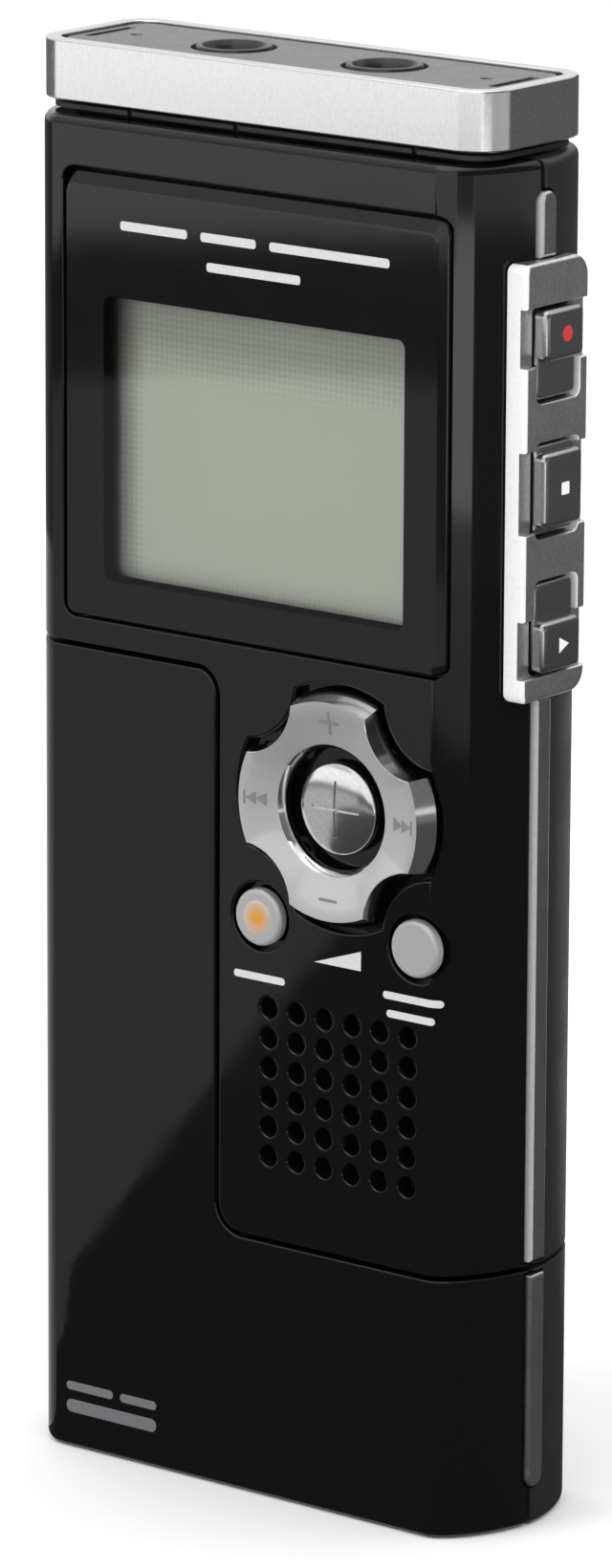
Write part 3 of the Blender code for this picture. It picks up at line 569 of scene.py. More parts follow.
def screen():
    """Idle liquid crystal: green-grey, with a faint cell grid, and the frame's soft shade painted in at its
    edges, darkest at the top.
    """
    material = new_material("liquid_crystal", (0.5, 0.5, 0.5), 0.34)
    tones = [span(material, wave(material, axis, 0.42), 0.96, 1.0, 0.0, 0.2, clamp=False) for axis in "XZ"]
    # Painted shadow of the frame: the colour darkens towards the top, the left edge and the bottom edge.
    painted_shades = (("Z", 1.0, 0.62, 72.8, 76.6), ("X", 0.12, 1.0, SIGHT_X[0] - 0.6, SIGHT_X[0] + 2.2),
              ("Z", 0.55, 1.0, SIGHT_Z[0] - 0.1, SIGHT_Z[0] + 0.7))
    tones += [span(material, along(material, axis), *reach) for axis, *reach in painted_shades]
    tone = span(material, noise(material, 0.09, 2.0), 0.97, 1.03)
    for other in tones:
        tone = times(material, tone, other)
    return vary_colour(material, tone, (0.0, 0.0, 0.0), (0.74, 0.72, 0.665), 0.0, 1.0)


def clear_pane():
    """Tinted clear plastic over the display."""
    material = bare_material("clear_window")
    through = shader_node(material, "BsdfTransparent", {"Color": (0.93, 0.95, 0.93, 1.0)})
    gloss = shader_node(material, "BsdfGlossy", {"Roughness": 0.03})
    edge = shader_node(material, "Fresnel", {"IOR": PLASTIC_IOR})
    mix = shader_node(material, "MixShader", {
        "Fac": edge.outputs["Fac"], 1: through.outputs["BSDF"], 2: gloss.outputs["BSDF"]})
    set_surface(material, mix.outputs["Shader"])
    return material


GLOSS = gloss_black()
SATIN_BLACK = grained("satin_black_plastic", (0.014, 0.014, 0.015), 0.42, 9.0, 0.012)
MATT_BLACK = grained("matt_black_plastic", (0.012, 0.012, 0.012), 0.68, 6.0, 0.02)
CAP_METAL = brushed("cap_satin_silver", (0.74, 0.74, 0.74), 0.2, (2.5, 2.5, 1.2), 0.003)
PLATE = grained("plate_grey", (0.20, 0.20, 0.20), 0.42, 7.0, 0.01, 0.85, 0.15)
BRACKET_METAL = grained("bracket_blasted_silver", (0.80, 0.80, 0.81), 0.32, 6.0, 0.010, 1.0, 0.1)
# Painted light: a lighter copy of the bracket's silver, given to its wall that faces the front.
BRACKET_PAINTED_LIGHT_WALL = grained("bracket_wall_painted_light", (0.86, 0.86, 0.87), 0.4, 6.0, 0.006, 0.2)
TRIM_METAL = grained("trim_satin_silver", (0.60, 0.60, 0.61), 0.26, 5.0, 0.003, 1.0, 0.06)
# Painted light: a lighter copy of the trim's silver, given to the edge that faces the front.
TRIM_PAINTED_LIGHT_EDGE = grained("trim_edge_painted_light", (0.44, 0.44, 0.45), 0.4, 5.0, 0.003, 0.3)
SIDE_KEY_METAL = grained("side_key_dark_silver", (0.46, 0.46, 0.47), 0.22, 6.0, 0.004, 1.0)
RING_SILVER_PAINTED_SHADE = ring_paint_with_painted_shade()
RING_WALL = grained("ring_polished_wall", (0.80, 0.80, 0.81), 0.13, 4.0, 0.002, 1.0)
KEY_SILVER = grained("key_silver_paint", (0.42, 0.42, 0.43), 0.36, 12.0, 0.002, 0.45)
AMBER = glowing_dot()
CHROME = grained("polished_key", (0.66, 0.66, 0.67), 0.14, 6.0, 0.001, 1.0, 0.05)
COLLAR_BLACK = grained("jack_collar_black", (0.02, 0.02, 0.02), 0.3, 8.0, 0.004)
BRIGHT = grained("bright_metal", (0.72, 0.72, 0.70), 0.24, 4.0, 0.004, 1.0)
SCREW_METAL = brushed("screw_metal", (0.35, 0.35, 0.36), 0.32, (2.0, 2.0, 2.0))
GOLD = grained("gold_contact", (0.83, 0.60, 0.24), 0.24, 5.0, 0.003, 1.0)
LCD = screen()
CLEAR = clear_pane()
PRINT_BORDER = grained("window_print_black", (0.004, 0.004, 0.0045), 0.06, 0.3, 0.003, IOR=PLASTIC_IOR)
LIGHT_GUIDE = grained("light_guide", (0.75, 0.78, 0.74), 0.25, 4.0, 0.004)
WHITE = grained("white_plastic", (0.72, 0.72, 0.70), 0.45, 6.0, 0.006)
RUBBER = grained("black_rubber", (0.02, 0.02, 0.02), 0.8, 5.0, 0.015)
BOARD_MASK = grained("board_solder_mask", (0.02, 0.14, 0.06), 0.35, 2.0, 0.004, 0.0, 0.15)
CELL_WRAP = brushed("cell_wrap", (0.16, 0.17, 0.19), 0.35, (1.0, 1.0, 0.3))
LABEL = grained("label_print", (0.52, 0.52, 0.52), 0.5, 8.0, 0.001)
DIM_LABEL = grained("dim_label_print", (0.13, 0.13, 0.14), 0.5, 8.0, 0.001)
MARK_GREY = grained("key_mark_grey", (0.16, 0.16, 0.17), 0.5, 8.0, 0.001)
MARK_RED = grained("record_mark_red", (0.50, 0.03, 0.03), 0.4, 8.0, 0.002)
MARK_WHITE = grained("play_mark_white", (0.80, 0.80, 0.80), 0.4, 8.0, 0.002)


# ---- camera and studio

CAMERA_ANGLES = (37.986, 13.81, 0.263)  # azimuth, elevation and roll in degrees
CAMERA_DISTANCE = 543.079
CAMERA_TARGET = (0.0, 0.0, 47.4)
CAMERA_FOCAL = 5.3055  # focal length over sensor width
CAMERA_SHIFT = (0.000226, -0.006619)
SENSOR_WIDTH = 36.0

FLOOR_REACH = 5000.0
LAMP_PLACE = (-0.35, -0.6, 0.75)  # metres
CARD_DISTANCE = 300
CARD_STEPS = 8
# Cards curved round the recorder: from and to azimuth, low and high edge, strength.
# The flags are dark cards, between the bright softboxes and papers.
STANDING_CARDS = {
    "softbox_front_high": (-62, -20, 31.5, 130, 1.3),
    "flag_front_band": (-62, -20, 17, 31.5, 0.08),
    "paper_front": (-62, -20, 0.6, 17, 0.55),
    "flag_window_corner": (-20, 45, 0.6, 33, 0.08),
    "softbox_right": (45, 70, 8, 37, 2.4),
    "paper_right": (45, 70, 0.6, 8, 0.7),
    "softbox_right_high": (-20, 50, 33, 320, 1.2),
    "flag_cap_corner": (50, 68, 37, 60, 0.4),
    "softbox_cap_corner": (68, 126, 37, 60, 0.8),
    "flag_right_high": (50, 126, 60, 420, 0.15),
    "flag_side": (70, 114, 0.6, 37, 0.15),
    "flag_back_right_low": (114, 195, 0.6, 37, 0.1),
    "flag_back_right": (126, 195, 37, 200, 0.1),
    "flag_left": (-180, -62, 0.6, 85, 0.14),
    "softbox_back_left": (-165, -90, 110, 330, 0.9),
}


def camera():
    """The view of the whole recorder from its right and a little above."""
    azimuth, elevation, roll = (radians(a) for a in CAMERA_ANGLES)
    back = Vector((sin(azimuth) * cos(elevation),
                   -cos(azimuth) * cos(elevation), sin(elevation)))
    right = Vector((cos(azimuth), sin(azimuth), 0.0))
    up = back.cross(right)
    across = cos(roll) * right + sin(roll) * up
    above = -sin(roll) * right + cos(roll) * up
    data = bpy.data.cameras.new("camera")
    data.sensor_width = SENSOR_WIDTH
    data.lens = CAMERA_FOCAL * SENSOR_WIDTH
    data.shift_x, data.shift_y = CAMERA_SHIFT
    data.clip_start, data.clip_end = 0.01, 10.0
    eye = bpy.data.objects.new("camera", data)
    turn = Matrix((across, above, back)).transposed().to_4x4()
    eye.matrix_world = Matrix.Translation((Vector(CAMERA_TARGET) + back * CAMERA_DISTANCE) * MM) @ turn
    SCENE.collection.objects.link(eye)
    SCENE.camera = eye


def polar(distance, azimuth):
    """A place on the floor. Azimuth 0 is straight in front, 90 on the keys' side."""
    return (distance * sin(radians(azimuth)), -distance * cos(radians(azimuth)))


def flat_object(name, faces, material):
    """An object of faces given by their corners. It isn't part of the recorder."""
    mesh = bpy.data.meshes.new(name)
    points = [tuple(c * MM for c in point) for face in faces for point in face]
    numbers, start = [], 0
    for face in faces:
        numbers.append(tuple(range(start, start + len(face))))
        start += len(face)
    mesh.from_pydata(points, [], numbers)
    mesh.materials.append(material)
    panel = bpy.data.objects.new(name, mesh)
    SCENE.collection.objects.link(panel)
    return panel


def card(name, faces, strength):
    """A studio card that is seen only in reflections."""
    glow = bare_material(name)
    set_surface(glow, shader_node(glow, "Emission", {"Strength": strength}).outputs["Emission"])
    panel = flat_object(name, faces, glow)
    for ray in ("camera", "diffuse", "shadow", "transmission", "volume_scatter"):
        setattr(panel, "visible_" + ray, False)


def standing_card(name, start, end, low, high, strength):
    corners = [polar(CARD_DISTANCE, start + (end - start) * i / CARD_STEPS) for i in range(CARD_STEPS + 1)]
    faces = [[(*here, low), (*there, low), (*there, high), (*here, high)]
             for here, there in zip(corners, corners[1:])]
    card(name, faces, strength)


def lying_card(name, outline, strength, level):
    card(name, [[(x, y, level) for x, y in outline]], strength)


def surroundings():
    """A bright even room, which reflections see darker towards the ground."""
    SCENE.view_settings.view_transform = "Standard"
    world = bpy.data.worlds.new("studio")
    SCENE.world = world
    world.use_nodes = True
    surround = world.node_tree.nodes["Background"]
    fill(world, surround, {"Color": (1.0, 1.0, 1.0, 1.0), "Strength": 1.22})
    coordinate = shader_node(world, "TexCoord").outputs["Generated"]
    height = shader_node(world, "SeparateXYZ", {"Vector": coordinate}).outputs["Z"]
    strength = span(world, height, 0.6, 1.0, 0.2, 0.7)
    reflected = shader_node(world, "Background", {"Color": (1.0, 1.0, 1.0, 1.0), "Strength": strength})
    mix = shader_node(world, "MixShader", {
        "Fac": shader_node(world, "LightPath").outputs["Is Glossy Ray"],
        1: surround.outputs["Background"], 2: reflected.outputs["Background"]})
    set_surface(world, mix.outputs["Shader"])


def studio():
    corners = [(x * FLOOR_REACH, y * FLOOR_REACH, 0) for x, y in ((-1, -1), (1, -1), (1, 1), (-1, 1))]
    paper = new_material("floor_paper", (0.96, 0.96, 0.96), 0.9, Specular_IOR_Level=0.1)
    flat_object("floor", [corners], paper)

    lamp = bpy.data.lights.new("key_softbox", "AREA")
    lamp.shape = "DISK"
    lamp.size = 0.5
    lamp.energy = 2.2
    key = bpy.data.objects.new("key_softbox", lamp)
    key.location = LAMP_PLACE
    key.rotation_mode = "QUATERNION"
    key.rotation_quaternion = (Vector((0, 0, 0.04)) - key.location).to_track_quat("-Z", "Y")
    key.visible_glossy = False
    SCENE.collection.objects.link(key)

    for name, sizes in STANDING_CARDS.items():
        standing_card(name, *sizes)
    lying_card("softbox_overhead", [(-300, -260), (150, -260), (150, 200), (-300, 200)], 2.2, 520)
    lying_card("paper_floor", [polar(600, 10 * i) for i in range(36)], 0.55, 0.15)
    edge = [(-20, -7.5), (-30, -25), (-40, -38), (-50, -58), (-66, -90), (-89, -138), (-113, -180)]
    edge += [polar(235, a) for a in range(-25, 71, 5)]
    lying_card("flag_floor", edge + [polar(600, a) for a in (71, 120, 165)] + [(-8, 6.5)], 0.07, 0.3)


camera()
surroundings()
studio()


# ---- shells

def body_block():
    """The whole outer form, with round ends."""
    return pillow(body_section, 0.0, BODY_TOP, RIM, RIM)


def battery_zone(inset, steps=10):
    """The L that the battery unit fills, seen from the front, cut through the depth."""
    right = COLUMN_RIGHT - inset
    top = COLUMN_TOP - inset
    shelf = FOOT_TOP - inset
    outer = SEAM_CORNER - min(inset, 0.9 * SEAM_CORNER)
    inner = SEAM_CORNER + inset
    points = [(-FAR, -FAR), (FAR, -FAR), (FAR, shelf)]
    for i in range(steps + 1):
        a = radians(270 - 90 * i / steps)
        points.append((right + inner + inner * cos(a), shelf + inner + inner * sin(a)))
    for i in range(steps + 1):
        a = radians(90 * i / steps)
        points.append((right - outer + outer * cos(a), top - outer + outer * sin(a)))
    points.append((-FAR, top))
    return prism(points, -FAR, FAR, "Y")


FRONT_HALF = box((-FAR, FAR), (-FAR, PARTING - GAP / 2), (-FAR, 2 * FAR))
BACK_HALF = box((-FAR, FAR), (PARTING + GAP / 2, FAR), (-FAR, 2 * FAR))


def round_plug(side, face, zs):
    """A box round the plug shell."""
    return box(grown((PLUG_LOW[0], PLUG_HIGH[0]), side), grown((PLUG_LOW[1], PLUG_HIGH[1]), face), zs)


def power_openings(half_x, half_y, zs):
    return merged([prism(rounded(grown((x, x), half_x + GAP), grown((0, 0), half_y + GAP), 0.2, 2), *zs)
                   for x in POWER_PIN_X])


def side_key_range(name, growth=0.0):
    middle = SIDE_KEYS[name][0]
    return grown((middle - SIDE_KEY_LENGTH / 2, middle + SIDE_KEY_LENGTH / 2), growth)


def raised_range(name, growth=0.0):
    """Where the raised pad lies on its key: at the top, the middle or the bottom."""
    middle, place = SIDE_KEYS[name]
    length = SIDE_KEY_RAISED[name]
    centre = middle + place * (SIDE_KEY_LENGTH - length) / 2
    return grown((centre - length / 2, centre + length / 2), growth)


def side_key_window(name, growth):
    return rounded(grown(SIDE_KEY_Y, growth), side_key_range(name, growth), growth + 0.3, 5)


def trim_outline(name, growth=0.0):
    low, high = node_box(name)
    lower, upper = TRIMS[name]
    radii = [radius + growth if radius > 0.1 else radius for radius in (lower, lower, upper, upper)]
    return uneven(grown((low[1], high[1]), growth), grown((low[2], high[2]), growth), radii)


def trim_channels():
    return merged([prism(trim_outline(name, 0.15), TRIM_FACE - 0.9, FAR, "X") for name in TRIMS])


def boss(place, low, high, radius=BOSS_RADIUS):
    return prism(circle(*place, radius, 24), low, high, "Y")


def control_half(half):
    """The control unit's part of the body's front or rear half."""
    shell = body_block()
    keep(shell, half)
    cut(shell, battery_zone(0.0))
    soften(shell, SEAM_EDGE, 3, 60)
    hollow = prism(body_section(WALL), FOOT_TOP + WALL, BODY_TOP - WALL)
    return cut(shell, cut(hollow, battery_zone(-WALL)))


def cut_shared_openings(shell):
    neck_opening = prism(centred(34.2, 8.6, 2.0), BODY_TOP - 4, 2 * FAR)
    plug_opening = round_plug(GAP, GAP, (FOOT_TOP - 5, FOOT_TOP + 3))
    cut(shell, neck_opening, plug_opening, box((-FAR, -16.0), (-1.2, 1.2), HOLD_SLOT_Z))
    cut(shell, power_openings(0.8, 1.0, (COLUMN_TOP - 1, COLUMN_TOP + 3)))
    windows = [prism(side_key_window(key, 0.2), 15.0, FAR, "X") for key in SIDE_KEYS]
    cut(shell, merged(windows), trim_channels())


def front_shell():
    shell = control_half(FRONT_HALF)
    for place in CONTROL_SCREWS.values():
        join(shell, boss(place, -INNER - GAP, PARTING - GAP))
    bores = [boss(place, -4.2, 5.0, SCREW_SHANK + GAP) for place in CONTROL_SCREWS.values()]
    cut(shell, merged(bores))
    cut(shell, flared(lambda g: nav_outline(NAV_FOOT_RADIUS, NAV_FOOT_LOBE, 0.4 + g), FRONT,
                      FRONT + WELL_DEPTH, 0.15))
    cups = [flared(lambda g, p=place: circle(*p, SMALL_KEY_RADIUS + 0.4 + g), FRONT, FRONT + WELL_DEPTH, 0.15)
            for place in SMALL_KEYS.values()]
    cut(shell, merged(cups))
    stems = [circle(*place, 0.95, 16) for place in NAV_POSTS]
    stems += [circle(*place, 1.25, 20) for place in SMALL_KEYS.values()]
    stems.append(ring_circle(1.6, 24))
    cut(shell, merged([prism(outline, -FAR, -INNER + 1, "Y") for outline in stems]))
    steps = [i - (GRILLE_COUNT - 1) / 2 for i in range(GRILLE_COUNT)]
    places = [(KEYS_X + i * GRILLE_PITCH[0], GRILLE_Z + j * GRILLE_PITCH[1]) for j in steps for i in steps]
    holes = [flared(lambda g, p=place: circle(*p, GRILLE_RADIUS + g, 20), FRONT, -INNER + 1, 0.16, "Y", 3)
             for place in places]
    cut(shell, merged(holes))
    cut(shell, flared(lambda g: rounded(grown(WINDOW_X, 0.2 + g), grown(WINDOW_Z, 0.2 + g), 1.0 + g),
                      FRONT, FRONT + 1.0, 0.1))
    opening = rounded(grown(LENS_X, 0.3), grown(LENS_Z, 0.3), 0.8)
    cut(shell, prism(opening, -FAR, -INNER + 1, "Y"))
    cut_shared_openings(shell)
    stand_in(shell, "front_shell", GLOSS, "control_unit")


def screw_sink(place):
    return flared(lambda g: circle(*place, SCREW_HEAD + GAP + g, 32), BACK, BACK - 1.2, 0.12)


def rear_shell():
    shell = control_half(BACK_HALF)
    cut_shared_openings(shell)
    for place in CONTROL_SCREWS.values():
        join(shell, boss(place, PARTING + GAP, INNER + GAP))
    bores = [boss(place, -2.0, FAR, SCREW_SHANK + GAP) for place in CONTROL_SCREWS.values()]
    cut(shell, merged(bores))
    cut(shell, merged([screw_sink(place) for place in CONTROL_SCREWS.values()]))
    cut(shell, flared(lambda g: rounded(grown((KEYS_X, KEYS_X), 4.2 + g), grown((23.3, 26.9), g), 0.9 + g),
                      BACK, 3.0, 0.15))
    stand_in(shell, "rear_shell", SATIN_BLACK, "control_unit")


def battery_shell(name, half, material):
    shell = body_block()
    keep(shell, half)
    keep(shell, battery_zone(GAP))
    soften(shell, SEAM_EDGE, 3, 60)
    cavity = keep(prism(body_section(WALL), WALL, COLUMN_TOP), battery_zone(GAP + WALL))
    cut(shell, cavity, round_plug(1.35 + GAP, 1.2 + GAP, (10.0, FAR)))
    pads = power_openings(1.2, 1.6, (COLUMN_TOP - 5, COLUMN_TOP + 3))
    cut(shell, pads, trim_channels())
    if half is FRONT_HALF:
        join(shell, boss(FOOT_SCREW, -INNER - GAP, PARTING - GAP, 1.5))
        cut(shell, boss(FOOT_SCREW, -4.2, 5.0, SCREW_SHANK + GAP))
    else:
        xs = (COVER_LOW[0] + 0.7, COVER_HIGH[0] - 0.7)
        top = COVER_HIGH[2] + GAP
        cut(shell, flared(lambda g: rounded(grown(xs, GAP + g), (-FAR, top + g), 0.05 + g, 3),
                          BACK, 4.0, 0.12))
        cut(shell, box(grown(xs, 0.7 + GAP), (4.7, 6.05), (-FAR, top)))
        join(shell, boss(FOOT_SCREW, PARTING + GAP, INNER + GAP, 1.5))
        cut(shell, boss(FOOT_SCREW, -2.0, FAR, SCREW_SHANK + GAP))
        cut(shell, screw_sink(FOOT_SCREW))
    stand_in(shell, name, material, "battery_unit")


front_shell()
rear_shell()
battery_shell("battery_unit_front_shell", FRONT_HALF, GLOSS)
battery_shell("battery_unit_rear_shell", BACK_HALF, SATIN_BLACK)


# ---- cap, neck and jacks

def ring_solid(outer, inner, low, high, outer_edge, inner_edge):
    """A frame with round outer and inner edges. outer(inset) and inner(growth) give its outlines."""
    rings = [(outer(i), low + d) for i, d in quarter_turn(outer_edge)]
    rings += [(outer(i), high - d) for i, d in reversed(quarter_turn(outer_edge))]
    rings += [(inner(i), high - d) for i, d in quarter_turn(inner_edge)]
    rings += [(inner(i), low + d) for i, d in reversed(quarter_turn(inner_edge))]
    return loft(rings, closed=True)


def cap():
    width, depth = CAP_HIGH[0] - CAP_LOW[0], CAP_HIGH[1] - CAP_LOW[1]
    corner, wall = 2.6, 1.0

    def outer(inset):
        return centred(width - 2 * inset, depth - 2 * inset, corner - inset, 16)

    band = ring_solid(outer, lambda growth: outer(wall - growth), CAP_LOW[2], CAP_HIGH[2], 0.16, 0.1)
    stand_in(band, "top_cap_band", CAP_METAL, "control_unit")

    plate = slab((-17.2, 17.2), (-4.35, 4.35), 1.4, PLATE_LOW[2], PLATE_HIGH[2], 0.0, 0.1)
    shapes = [(lambda g, x=x: circle(x, 0.0, JACK_RADIUS + GAP + g), 0.08) for x in (-JACK_X, JACK_X)]
    shapes += [(lambda g, x=x: circle(x, 0.0, 0.4 + g, 24), 0.1) for x in (-MIC_X, MIC_X)]
    shapes += [(lambda g, x=x: rounded(grown((x, x), 0.35 + g), grown((0, 0), 2.4 + g), 0.3 + g, 4), 0.08)
               for x in (-MIC_SLIT_X, MIC_SLIT_X)]
    holes = [flared(shape, PLATE_HIGH[2], PLATE_LOW[2] - 1, flare, "Z", 3) for shape, flare in shapes]
    cut(plate, merged(holes))
    stand_in(plate, "top_plate", PLATE, "control_unit")


def neck():
    """The frame between body and cap, with small notches in its ledge."""
    lower = prism(centred(33.5, 7.9, 1.7), BODY_TOP - 1.3, CAP_LOW[2] + 2.3)
    ledge = pillow(lambda i: centred(36.0 - 2 * i, 10.2 - 2 * i, 2.2 - i, 12),
                   BODY_TOP + 0.2, CAP_LOW[2] - 0.2, 0.0, 0.1)
    join(lower, ledge)
    cut(lower, prism(centred(32.3, 6.8, 1.2), 0.0, 2 * FAR))
    notches = [box((x - 0.2, x + 0.2), (-FAR, -4.85), (0.0, 2 * FAR)) for x in (-10.6, -1.9, 12.4)]
    cut(lower, merged(notches))
    stand_in(lower, "neck_frame", SATIN_BLACK, "control_unit")


def jack_collar(name, x):
    top = CAP_HIGH[2]
    low = top - 1.5
    profile = [(JACK_RADIUS, low), (JACK_RADIUS, top - 0.16), (JACK_RADIUS - 0.05, top - 0.05),
               (JACK_RADIUS - 0.16, top), (2.2, top), (2.1, top - 0.03), (1.92, top - 0.28), (1.8, top - 0.5),
               (1.8, low)]
    collar = loft([(circle(x, 0.0, radius, 56), level) for radius, level in profile], "Z", closed=True)
    stand_in(collar, name, COLLAR_BLACK, "control_unit")


# ---- display

def display():
    """The window follows the body's rolled edge and has a wide bevel along its top and right."""
    front, back = WINDOW_LOW[1], WINDOW_HIGH[1]

    sight = rounded(SIGHT_X, SIGHT_Z, 0.6)
    # Insets on the left, right, bottom and top, the corners' radius and the depth of each ring
    steps = ((0.3, 0.82, 0.25, 1.15, 0.5, 0.0), (0.12, 0.62, 0.1, 0.95, 0.55, 0.0),
             (0.09, 0.58, 0.07, 0.9, 0.6, 0.02), (0.02, 0.12, 0.02, 0.25, 0.85, 0.30),
             (0.0, 0.04, 0.0, 0.12, 0.9, 0.38), (0.0, 0.0, 0.0, 0.0, 0.95, 0.5),
             (0.0, 0.0, 0.0, 0.0, 0.95, back - front))
    rings = [(rounded((WINDOW_X[0] + left, WINDOW_X[1] - right), (WINDOW_Z[0] + bottom, WINDOW_Z[1] - top),
                      corner), front + depth) for left, right, bottom, top, corner, depth in steps]
    pane = loft([(sight, front), *rings, (sight, back)], "Y")
    pane.data.materials.append(PRINT_BORDER)
    pane.data.materials.append(CLEAR)
    for face in pane.data.polygons:
        if len(face.vertices) > 4:
            face.material_index = 1
    stand_in(pane, "display_window", None, "control_unit")

    glass = box(LENS_X, (-5.2, -4.1), LENS_Z)
    soften(glass, 0.08, 2)
    stand_in(glass, "display_panel", LCD, "control_unit")

    lines = [(-9.9, -4.4, 83.5), (-3.3, 1.2, 83.5), (2.3, 11.9, 83.5), (-2.8, 4.8, 81.6)]
    dashes = [prism(rounded((a, b), (z - 0.3, z + 0.3), 0.2, 4), front - 0.012, front + 0.1, "Y")
              for a, b, z in lines]
    show(merged(dashes), "display_window_print", LABEL, "control_unit")


# ---- front keys

def nav_ring():
    """The ring rocker: a hollow face, sloping walls and a bevelled round hole."""
    foot = nav_outline(NAV_FOOT_RADIUS, NAV_FOOT_LOBE)
    face = nav_outline(NAV_RADIUS, NAV_LOBE)
    back = FRONT + 0.15
    angles = [atan2(v - NAV_Z, u - KEYS_X) for u, v in face]
    hole, mouth = ([(KEYS_X + r * cos(a), NAV_Z + r * sin(a)) for a in angles]
                   for r in (NAV_HOLE, NAV_HOLE + 0.3))

    def between(start, end, share):
        return [(a[0] + (b[0] - a[0]) * share, a[1] + (b[1] - a[1]) * share) for a, b in zip(start, end)]

    rings = [(between(foot, face, share), back + (NAV_FRONT - back) * share) for share in (0.0, 0.03, 0.93)]
    rings += [(between(foot, face, 0.98), NAV_FRONT + 0.03), (between(face, hole, 0.02), NAV_FRONT)]
    rings += [(between(face, mouth, share), NAV_FRONT + NAV_DISH * share ** 1.3) for share in (0.3, 0.6, 0.9)]
    rings += [(mouth, NAV_FRONT + NAV_DISH), (between(mouth, hole, 0.9), NAV_FRONT + NAV_DISH + 0.4),
              (hole, NAV_FRONT + NAV_DISH + 0.5), (hole, back)]
    ring = loft(rings, "Y", closed=True)
    posts = [prism(circle(*place, 0.55, 20), NAV_FRONT + 0.8, -5.2, "Y") for place in NAV_POSTS]
    join(ring, merged(posts))
    ring.data.materials.append(RING_SILVER_PAINTED_SHADE)
    ring.data.materials.append(RING_WALL)
    for polygon in ring.data.polygons:
        polygon.material_index = 0 if polygon.normal.y < -0.8 else 1
    stand_in(ring, "nav_ring", None, "nav_rocker")


def dish_depth(x, z):
    """How deep the ring's face lies at a place on one of its axes."""
    share = (NAV_RADIUS - hypot(x - KEYS_X, z - NAV_Z)) / (NAV_RADIUS - NAV_HOLE)
    return NAV_DISH * max(share, 0.0) ** 1.3


def bar(u, v, width, height):
    return [(u + a * width / 2, v + b * height / 2) for a, b in ((-1, -1), (1, -1), (1, 1), (-1, 1))]


def dished(outline):
    """A thin mark that follows the ring's hollow face."""
    mark = prism(outline, NAV_FRONT, NAV_FRONT + 1.0, "Y")
    for vertex in mark.data.vertices:
        step = -0.02 if vertex.co.y < (NAV_FRONT + 0.5) * MM else 0.3
        face = NAV_FRONT + dish_depth(vertex.co.x / MM, vertex.co.z / MM)
        vertex.co.y = max(face + step, NAV_FRONT) * MM
    return mark


def nav_marks():
    """Plus, minus and skip signs on the ring's four lobes."""
    shapes = [bar(KEYS_X, NAV_Z + MARK_REACH, 1.5, 0.16), bar(KEYS_X, NAV_Z + MARK_REACH, 0.16, 1.5),
              bar(KEYS_X, NAV_Z - MARK_REACH, 1.4, 0.16)]
    for side in (-1, 1):
        x = KEYS_X + side * (MARK_REACH + 0.05)
        shapes.append(bar(x + side * 0.85, NAV_Z, 0.13, 0.9))
        for i in (0, 1):
            tip = x + side * (0.72 - 0.75 * i)
            foot = tip - side * 0.7
            shapes.append([(foot, NAV_Z - 0.4), (tip, NAV_Z), (foot, NAV_Z + 0.4)])
    marks = merged([dished(shape) for shape in shapes])
    show(marks, "nav_ring_marks", MARK_GREY, "nav_rocker")


def ok_key():
    """A polished dome with a cross groove."""
    front = OK_LOW[1]
    profile = [(OK_RADIUS * sin(t), front + 0.34 * (1 - cos(t)) / (1 - cos(1.0)))
               for t in (1.0 * i / 10 for i in range(1, 10))]
    scale = (OK_RADIUS - 0.28) / profile[-1][0]
    rings = [(ring_circle(0.25), front)]
    rings += [(ring_circle(r * scale), y) for r, y in profile]
    edge = profile[-1][1]
    rings += [(ring_circle(OK_RADIUS - i), edge + 0.02 + d) for i, d in quarter_turn(0.24)]
    rings.append((ring_circle(OK_RADIUS), FRONT + 0.35))
    dome = loft(rings, "Y")
    join(dome, prism(ring_circle(1.2, 24), FRONT + 0.05, -3.55, "Y"))
    grooves = [prism(bar(KEYS_X, NAV_Z, *size), -FAR, front + 0.2, "Y")
               for size in ((3.8, 0.16), (0.16, 3.8))]
    cut(dome, join(*grooves))
    stand_in(dome, "ok_button", CHROME, "ok_key")


def small_key(name, body):
    place = SMALL_KEYS[name]
    low = node_box(name)[0][1]
    key = pillow(lambda i: circle(*place, SMALL_KEY_RADIUS - i), low, FRONT + 0.35, 0.28, 0.0, "Y")
    join(key, prism(circle(*place, 0.9, 20), FRONT + 0.05, -3.55, "Y"))
    stand_in(key, name, KEY_SILVER, body)


def erase_dot():
    """A small amber cone set in the erase key."""
    x, z = SMALL_KEYS["erase_button"]
    front = node_box("erase_button")[0][1]
    profile = ((0.3, -0.05), (0.8, -0.03), (1.15, 0.0), (1.2, 0.03), (1.2, 0.2))
    rings = [(circle(x, z, radius, 32), front + depth) for radius, depth in profile]
    show(loft(rings, "Y"), "erase_button_dot", AMBER, "erase_key")


# ---- side bracket, keys and trims

def painted_light_front(piece, material, painted_light_material):
    """Give the faces turned to the front their own lighter material: painted light, as if those faces caught
    more light.
    """
    piece.data.materials.clear()
    piece.data.materials.append(material)
    piece.data.materials.append(painted_light_material)
    for face in piece.data.polygons:
        face.material_index = 1 if face.normal.y < -0.35 else 0


